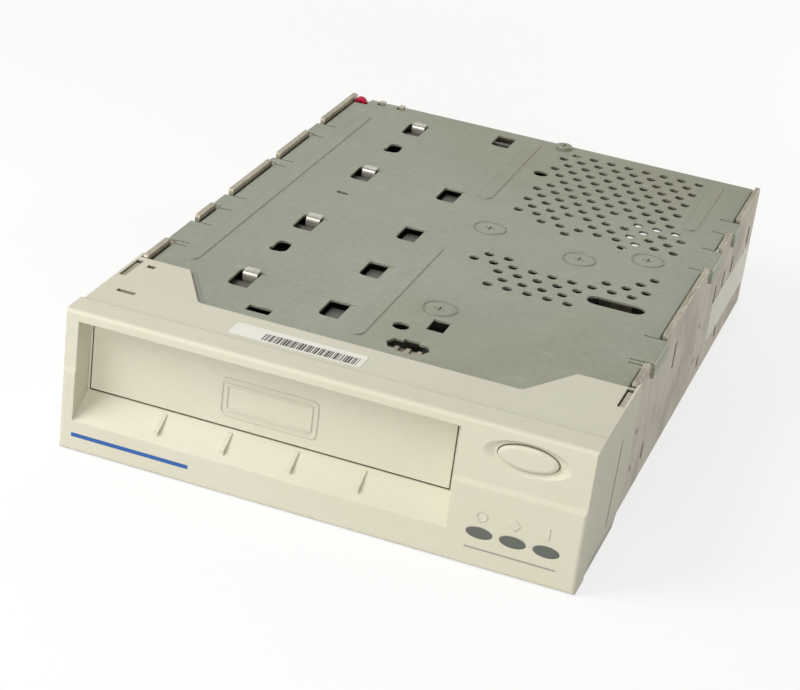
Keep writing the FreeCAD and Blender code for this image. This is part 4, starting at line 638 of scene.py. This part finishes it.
# and each one's own name, tone, paler tone for clouding, edge wear and a painted edge highlight, and
# roughness, by material slot
smallParts = {
    "guide_plastic": {
        "name": "DarkGuide", "color": (0.085, 0.080, 0.066), "wornAndLit": (0.15, 0.142, 0.12), "roughness": 0.45,
    },
    "window_lens": {
        "name": "SmokyLens", "color": (0.105, 0.117, 0.100), "wornAndLit": (0.14, 0.15, 0.13), "roughness": 0.24,
        "bevel": 0.3 * mm,
    },
    "component_black": {
        "name": "MouldedBlack", "color": (0.02, 0.02, 0.02), "wornAndLit": (0.06, 0.06, 0.06), "roughness": 0.55,
    },
    "connector_black": {
        "name": "ConnectorBlack", "color": (0.025, 0.025, 0.028), "wornAndLit": (0.07, 0.07, 0.07),
        "roughness": 0.4,
    },
    "connector_white": {
        "name": "NaturalNylon", "color": (0.50, 0.475, 0.40), "wornAndLit": (0.66, 0.64, 0.57), "roughness": 0.42,
    },
    "contact_gold": {
        "name": "PlatedContact", "color": (0.80, 0.62, 0.25), "wornAndLit": (0.86, 0.72, 0.36), "roughness": 0.22,
        "metallic": 1.0,
    },
    "led_clear": {
        "name": "ClearEpoxy", "color": (0.62, 0.66, 0.6), "wornAndLit": (0.75, 0.78, 0.72), "roughness": 0.12,
    },
    # tone darkened to a mid-grey as painted shade, so the gear reads dark under the vents
    "gear_nylon": {
        "name": "ShadeDarkenedAcetal", "color": (0.15, 0.145, 0.125), "wornAndLit": (0.26, 0.25, 0.22), "roughness": 0.4,
    },
    "pinion_brass": {
        "name": "TurnedBrass", "color": (0.60, 0.44, 0.19), "wornAndLit": (0.80, 0.64, 0.34), "roughness": 0.3,
        "metallic": 1.0,
    },
    "motor_steel": {
        "name": "DrawnCan", "color": (0.34, 0.335, 0.31), "wornAndLit": (0.52, 0.51, 0.48), "roughness": 0.36,
        "metallic": 0.85,
    },
    "roller_rubber": {
        "name": "GroundRubber", "color": (0.03, 0.03, 0.03), "wornAndLit": (0.09, 0.09, 0.085), "roughness": 0.75,
    },
    "carriage_alloy": {
        "name": "CastAlloy", "color": (0.42, 0.42, 0.40), "wornAndLit": (0.60, 0.60, 0.58), "roughness": 0.45,
        "metallic": 0.8,
    },
    "head_metal": {
        "name": "LappedHead", "color": (0.5, 0.5, 0.48), "wornAndLit": (0.68, 0.68, 0.66), "roughness": 0.16,
        "metallic": 1.0,
    },
    "wire_red": {
        "name": "RedInsulation", "color": (0.48, 0.012, 0.04), "wornAndLit": (0.66, 0.05, 0.1), "roughness": 0.28,
    },
}


def smallPartFinish(ownLook):
    # one tone with grain, cloudy change and paler edges, which are wear and a painted highlight
    look = {**smallPartLook, **ownLook}
    material, tree, shader = startFinish(look["name"], Metallic=look["metallic"])
    cloud = useEffect(tree, "mottle", **look["cloud"])
    grain = useEffect(tree, "grain", **look["grain"])
    wearAndHighlight = useEffect(tree, "edgeWearAndHighlight", Radius=look["bevel"], **look["wearAndHighlight"])
    clouded = mathNode(tree, "MULTIPLY", cloud.outputs["Tone"], look["cloudShare"])
    toned = mixColors(tree, clouded, look["color"], look["wornAndLit"])
    # edges lightened: wear with a painted highlight
    rubbedAndLit = mathNode(tree, "MULTIPLY", wearAndHighlight.outputs["Mask"], look["wearAndHighlightShare"])
    joinUp(tree, mixColors(tree, rubbedAndLit, toned, look["wornAndLit"]), shader.inputs["Base Color"])
    smooth = look["roughness"] - look["roughnessSpread"]
    rough = look["roughness"] + look["roughnessSpread"]
    spread = rangeNode(tree, cloud.outputs["Tone"], 0.2, 0.8, smooth, rough)
    joinUp(tree, spread, shader.inputs["Roughness"])
    reliefOn(tree, shader, [(grain.outputs["Height"], look["grainDepth"], 0.3)], wearAndHighlight.outputs["Soft Normal"])
    return material


finishes = {
    "bezel_plastic": bezelPlastic(),
    "cover_steel": coverSteel(),
    "chassis_steel": chassisSteel(),
    "bright_steel": brightSteel(),
    "board_green": boardLacquer(),
}
for slotName, ownLook in smallParts.items():
    finishes[slotName] = smallPartFinish(ownLook)

for part in subparts:
    node = nodes[part["node"]]
    node.data.materials.clear()
    node.data.materials.append(finishes[part["material_slot"]])
print("finishes laid on:", len(subparts), "nodes")


# papers, printing and small pressed details that lie on the finished sheets:
# first the labels' matt coated paper, slightly fibrous and a little soiled
paperLook = {
    "color": (0.86, 0.855, 0.80),
    "soiled": (0.82, 0.81, 0.74),
    "fleck": (0.55, 0.53, 0.46),
    "fleckShare": 0.15,
    "roughness": (0.48, 0.60),
    "fibreDepth": 0.01 * mm,
    "cloud": {"Scale": 160.0, "Contrast": 1.8},
    "fibre": {"Scale": 5200.0, "Softness": 0.7},
    "wearAndHighlight": {"Radius": 0.08 * mm, "Patchiness": 400.0, "Reach": 0.5},
}


def labelPaper():
    look = paperLook
    material, tree, shader = startFinish("LabelPaper", Specular_IOR_Level=0.35)
    cloud = useEffect(tree, "mottle", **look["cloud"])
    fibre = useEffect(tree, "grain", **look["fibre"])
    wearAndHighlight = useEffect(tree, "edgeWearAndHighlight", **look["wearAndHighlight"])
    tinted = mixColors(tree, cloud.outputs["Tone"], look["color"], look["soiled"])
    flecks = mathNode(tree, "MULTIPLY", fibre.outputs["Speck"], look["fleckShare"])
    joinUp(tree, mixColors(tree, flecks, tinted, look["fleck"]), shader.inputs["Base Color"])
    matt = rangeNode(tree, cloud.outputs["Tone"], 0.2, 0.8, *look["roughness"])
    joinUp(tree, matt, shader.inputs["Roughness"])
    reliefOn(tree, shader, [(fibre.outputs["Height"], look["fibreDepth"], 0.3)], wearAndHighlight.outputs["Soft Normal"])
    return material


# pad-printed or thermal ink: solid, with tiny missed spots where the surface under it is rough
inkLook = {
    "cloudShare": 0.3,
    "missedShare": 0.25,
    "roughnessSpread": 0.06,
    "missedDepth": 0.04 * mm,
    "cloud": {"Scale": 300.0, "Contrast": 1.4},
    "missed": {"Scale": 3600.0, "Softness": 0.6},
}

# each ink's name, tone, thin tone and roughness
inkRows = {
    "black": ("ThermalBlack", (0.015, 0.015, 0.015), (0.08, 0.08, 0.075), 0.45),
    "blue": ("PadPrintBlue", (0.012, 0.10, 0.36), (0.03, 0.16, 0.44), 0.4),
    "grey": ("PadPrintGrey", (0.33, 0.32, 0.28), (0.44, 0.43, 0.38), 0.45),
}


def printInk(name, color, thin, roughness):
    look = inkLook
    material, tree, shader = startFinish(name)
    cloud = useEffect(tree, "mottle", **look["cloud"])
    missed = useEffect(tree, "grain", **look["missed"])
    clouded = mathNode(tree, "MULTIPLY", cloud.outputs["Tone"], look["cloudShare"])
    toned = mixColors(tree, clouded, color, thin)
    spots = mathNode(tree, "MULTIPLY", missed.outputs["Speck"], look["missedShare"])
    joinUp(tree, mixColors(tree, spots, toned, thin), shader.inputs["Base Color"])
    smooth = roughness - look["roughnessSpread"]
    rough = roughness + look["roughnessSpread"]
    joinUp(tree, rangeNode(tree, cloud.outputs["Tone"], 0.2, 0.8, smooth, rough), shader.inputs["Roughness"])
    reliefOn(tree, shader, [(missed.outputs["Height"], look["missedDepth"], 0.3)])
    return material


def linkUp(name, mesh, material, body):
    # a finished bmesh becomes a piece of the drive that rides with its body
    data = bpy.data.meshes.new(name)
    mesh.normal_update()
    mesh.to_mesh(data)
    mesh.free()
    data.materials.append(material)
    piece = bpy.data.objects.new(name, data)
    scene.collection.objects.link(piece)
    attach(piece, body)


rayRoom = 10 * mm  # how far outside the drive a search for a face starts


def faceUnder(nodeName, start, direction):
    # where a straight line first meets a CAD piece, and which way that face looks
    hit, place, facing = nodes[nodeName].ray_cast(Vector(start), Vector(direction))[:3]
    if not hit:
        raise ValueError("no face of " + nodeName + " there")
    return place, facing.normalized()


def addPatch(mesh, place, facing, across, width, height, corner, thick, cornerSteps=5):
    # a thin sheet with rounded corners that lies on a face; place is its middle
    across = (across - facing * across.dot(facing)).normalized()
    upward = facing.cross(across)
    rings = ([], [])
    for sideX, sideY, start in ((1, 1, 0), (-1, 1, 90), (-1, -1, 180), (1, -1, 270)):
        for step in range(cornerSteps + 1):
            angle = math.radians(start + 90 * step / cornerSteps)
            right = sideX * (width / 2 - corner) + corner * math.cos(angle)
            above = sideY * (height / 2 - corner) + corner * math.sin(angle)
            for ring, lift in zip(rings, (0.0, thick)):
                ring.append(mesh.verts.new(place + across * right + upward * above + facing * lift))
    lower, upper = rings
    mesh.faces.new(upper)
    mesh.faces.new(lower[::-1])
    for first in range(len(lower)):
        second = (first + 1) % len(lower)
        mesh.faces.new((lower[first], lower[second], upper[second], upper[first]))


# the paper strip on the bezel's shelf, with plain bars of uneven widths that stand for no number
shelfLabel = {
    "middle": (-13.6 * mm, -90.6 * mm),
    "size": (38.0 * mm, 7.4 * mm),
    "corner": 1.1 * mm,
    "thick": 0.08 * mm,
    "barsFrom": -9.6 * mm,
    "barsTo": 17.4 * mm,
    "barHeight": 4.2 * mm,
    "barRise": -0.9 * mm,
    "barWidths": (0.20 * mm, 0.36 * mm, 0.60 * mm),
    "barGaps": (0.20 * mm, 0.42 * mm),
    "barCorner": 0.02 * mm,
    "inkThick": 0.015 * mm,
    "seed": 11,
}


def makeShelfLabel(paper, ink):
    look = shelfLabel
    above = (*look["middle"], cadBox[1].z + rayRoom)
    place, facing = faceUnder("front_bezel", above, (0, 0, -1))
    across = Vector((1, 0, 0))
    sheet = bmesh.new()
    addPatch(sheet, place, facing, across, *look["size"], look["corner"], look["thick"])
    linkUp("shelf_label", sheet, paper, "chassis")
    draw = random.Random(look["seed"])
    bars = bmesh.new()
    right = look["barsFrom"]
    while right < look["barsTo"]:
        width = draw.choice(look["barWidths"])
        middle = place + facing * look["thick"] + Vector((right + width / 2, look["barRise"], 0))
        size = (width, look["barHeight"])
        addPatch(bars, middle, facing, across, *size, look["barCorner"], look["inkThick"], 1)
        right += width + draw.choice(look["barGaps"])
    linkUp("shelf_label_bars", bars, ink, "chassis")


# a bare pale sticker low on the outside of the right wall
wallLabel = {
    "depth": (46.7 * mm, 106.7 * mm),
    "height": (8.0 * mm, 22.0 * mm),
    "corner": 1.0 * mm,
    "thick": 0.09 * mm,
}


def makeWallLabel(paper):
    look = wallLabel
    middleY = sum(look["depth"]) / 2
    middleZ = sum(look["height"]) / 2
    width = look["depth"][1] - look["depth"][0]
    height = look["height"][1] - look["height"][0]
    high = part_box("chassis_tray")[1]
    sheet = bmesh.new()
    addPatch(
        sheet, Vector((high.x, middleY, middleZ)), Vector((1, 0, 0)), Vector((0, 1, 0)),
        width, height, look["corner"], look["thick"],
    )
    linkUp("wall_label", sheet, paper, "chassis")


# plain printed rules on the lower front, one blue at the left and one grey under the windows
frontRules = {
    "blue": {"middle": (-53.0 * mm, 5.0 * mm), "size": (35.0 * mm, 1.2 * mm)},
    "grey": {"middle": (55.8 * mm, 5.6 * mm), "size": (25.0 * mm, 0.55 * mm)},
    "corner": 0.2 * mm,
    "thick": 0.012 * mm,
}


def makeFrontRules(inks):
    look = frontRules
    for name in ("blue", "grey"):
        x, z = look[name]["middle"]
        before = (x, cadBox[0].y - rayRoom, z)
        place, facing = faceUnder("front_bezel", before, (0, 1, 0))
        rule = bmesh.new()
        across = Vector((1, 0, 0))
        addPatch(rule, place, facing, across, *look[name]["size"], look["corner"], look["thick"])
        linkUp(name + "_rule", rule, inks[name], "chassis")


# a fine pressed ring round each flush cover screw
screwRing = {
    "beyondHead": 0.1 * mm,
    "width": 0.28 * mm,
    "height": 0.035 * mm,
    "steps": 64,
    "reach": 12.0 * mm,
    "smallestHead": 4.0 * mm,
}


def screwMiddles():
    # the middle of each screw, found by gathering the group's points that lie close together
    groups = []
    for vertex in nodes["cover_screws"].data.vertices:
        flat = vertex.co.to_2d()
        near = [group for group in groups if (group[0] - flat).length < screwRing["reach"]]
        if near:
            near[0].append(flat)
        else:
            groups.append([flat])
    middles = []
    for group in groups:
        low = Vector((min(point.x for point in group), min(point.y for point in group)))
        high = Vector((max(point.x for point in group), max(point.y for point in group)))
        middles.append(((low + high) / 2, (high - low).x / 2))
    return middles


def makeScrewRings(metal):
    look = screwRing
    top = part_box("top_cover")[1].z
    rings = bmesh.new()
    for middle, headRadius in screwMiddles():
        if headRadius < look["smallestHead"]:
            continue
        ringRadius = headRadius + look["beyondHead"]
        profile = (
            (ringRadius - look["width"] / 2, 0.0),
            (ringRadius - look["width"] / 4, look["height"]),
            (ringRadius + look["width"] / 4, look["height"]),
            (ringRadius + look["width"] / 2, 0.0),
        )
        loops = []
        for step in range(look["steps"]):
            angle = math.tau * step / look["steps"]
            outward = Vector((math.cos(angle), math.sin(angle), 0))
            centre = Vector((middle.x, middle.y, top))
            loop = []
            for radius, lift in profile:
                loop.append(rings.verts.new(centre + outward * radius + Vector((0, 0, lift))))
            loops.append(loop)
        for step in range(look["steps"]):
            here = loops[step]
            there = loops[(step + 1) % look["steps"]]
            for edge in range(len(profile)):
                after = (edge + 1) % len(profile)
                rings.faces.new((here[edge], there[edge], there[after], here[after]))
    bmesh.ops.recalc_face_normals(rings, faces=rings.faces)
    linkUp("screw_rings", rings, metal, "chassis")


paper = labelPaper()
inks = {name: printInk(*row) for name, row in inkRows.items()}
makeShelfLabel(paper, inks["black"])
makeWallLabel(paper)
makeFrontRules(inks)
makeScrewRings(finishes["cover_steel"])
print("labels, rules and rings laid on")


# floor, lamps and camera
roomLook = {
    "floor": 1.0,
    "bounce": 0.54,
    "worldLight": 0.36,
    "worldTint": (1.0, 0.985, 0.95),
    "floorGlow": 0.74,
    "glowNear": 0.22,
    "glowFar": 0.85,
    "floorHalf": 4.0,
    "floorDrop": 0.0002,
}


def makeFloor():
    look = roomLook
    mesh = bpy.data.meshes.new("studioFloor")
    half = look["floorHalf"]
    corners = [(-half, -half, 0), (half, -half, 0), (half, half, 0), (-half, half, 0)]
    mesh.from_pydata(corners, [], [(0, 1, 2, 3)])
    floor = bpy.data.objects.new("studioFloor", mesh)
    floor.location.z = -look["floorDrop"]
    scene.collection.objects.link(floor)
    material = bpy.data.materials.new("PaleFloor")
    material.use_nodes = True
    tree = material.node_tree
    tree.nodes.clear()
    leave = tree.nodes.new("ShaderNodeOutputMaterial")
    lit = addNode(tree, "BsdfDiffuse", Color=(look["floor"],) * 3 + (1.0,))
    glow = addNode(tree, "Emission", Color=(1.0, 1.0, 1.0, 1.0), Strength=1.0)
    bounced = addNode(tree, "BsdfDiffuse", Color=(look["bounce"],) * 3 + (1.0,))
    spot = addNode(tree, "NewGeometry")
    away = addNode(tree, "VectorMath", {"operation": "LENGTH"})
    joinUp(tree, spot.outputs["Position"], away.inputs[0])
    reach = (look["glowNear"], look["glowFar"])
    share = rangeNode(tree, away.outputs["Value"], *reach, look["floorGlow"], 1.0, smooth=True)
    seen = addNode(tree, "MixShader")
    joinUp(tree, share, seen.inputs[0])
    joinUp(tree, lit.outputs[0], seen.inputs[1])
    joinUp(tree, glow.outputs[0], seen.inputs[2])
    path = addNode(tree, "LightPath")
    direct = mathNode(tree, "MAXIMUM", path.outputs["Is Camera Ray"], path.outputs["Is Glossy Ray"])
    direct = mathNode(tree, "MAXIMUM", direct, path.outputs["Is Transmission Ray"])
    pick = addNode(tree, "MixShader")
    joinUp(tree, direct, pick.inputs[0])
    joinUp(tree, bounced.outputs[0], pick.inputs[1])
    joinUp(tree, seen.outputs[0], pick.inputs[2])
    joinUp(tree, pick.outputs[0], leave.inputs["Surface"])
    mesh.materials.append(material)


def makeWorld():
    look = roomLook
    world = bpy.data.worlds.new("paleRoom")
    scene.world = world
    world.use_nodes = True
    tree = world.node_tree
    tree.nodes.clear()
    leave = tree.nodes.new("ShaderNodeOutputWorld")
    seen = addNode(tree, "Background", Color=(1.0, 1.0, 1.0, 1.0), Strength=1.0)
    lit = addNode(tree, "Background", Color=(*look["worldTint"], 1.0), Strength=look["worldLight"])
    path = addNode(tree, "LightPath")
    direct = mathNode(tree, "MAXIMUM", path.outputs["Is Camera Ray"], path.outputs["Is Transmission Ray"])
    pick = addNode(tree, "MixShader")
    joinUp(tree, direct, pick.inputs[0])
    joinUp(tree, lit.outputs[0], pick.inputs[1])
    joinUp(tree, seen.outputs[0], pick.inputs[2])
    joinUp(tree, pick.outputs[0], leave.inputs["Surface"])


lampLook = {
    "key": {"spot": (-0.48, -0.42, 0.52), "size": 0.50, "power": 4.2, "tint": (1.0, 0.985, 0.955)},
    "front": {"spot": (0.11, -0.95, 0.13), "size": 0.60, "power": 3.9, "tint": (1.0, 0.985, 0.955)},
    "side": {"spot": (0.36, 0.44, 0.20), "size": 0.22, "power": 0.8, "tint": (1.0, 0.94, 0.83)},
    "rear": {"spot": (-0.3, 1.1, 0.9), "size": 0.8, "power": 2.2, "tint": (1.0, 0.99, 0.97)},
}


def makeLamps():
    aim = (cadBox[0] + cadBox[1]) / 2
    for name, look in lampLook.items():
        lamp = bpy.data.lights.new(name + "Lamp", "AREA")
        lamp.shape = "DISK"
        lamp.size = look["size"]
        lamp.energy = look["power"]
        lamp.color = look["tint"]
        holder = bpy.data.objects.new(name + "Lamp", lamp)
        holder.location = look["spot"]
        holder.rotation_euler = (aim - holder.location).to_track_quat("-Z", "Y").to_euler()
        scene.collection.objects.link(holder)


cameraLook = {
    "spot": (0.16051, -0.58217, 0.29483),
    "bearing": 0.28899,
    "tilt": 0.44709,
    "roll": 0.13150,
    "lens": 98.12,
    "sensor": 36.0,
    "clip": (0.01, 20.0),
}


def makeCamera():
    look = cameraLook
    forward = Vector((
        -math.sin(look["bearing"]) * math.cos(look["tilt"]),
        math.cos(look["bearing"]) * math.cos(look["tilt"]),
        -math.sin(look["tilt"]),
    ))
    side = forward.cross(Vector((0, 0, 1))).normalized()
    top = side.cross(forward)
    turned = Matrix.Rotation(-look["roll"], 3, forward)
    side, top = turned @ side, turned @ top
    data = bpy.data.cameras.new("studioCamera")
    data.sensor_width = look["sensor"]
    data.lens = look["lens"]
    data.clip_start, data.clip_end = look["clip"]
    holder = bpy.data.objects.new("studioCamera", data)
    holder.matrix_world = Matrix((
        (side.x, top.x, -forward.x, look["spot"][0]),
        (side.y, top.y, -forward.y, look["spot"][1]),
        (side.z, top.z, -forward.z, look["spot"][2]),
        (0, 0, 0, 1),
    ))
    scene.collection.objects.link(holder)
    scene.camera = holder


makeFloor()
makeWorld()
makeLamps()
makeCamera()
print("room, lamps and camera placed")
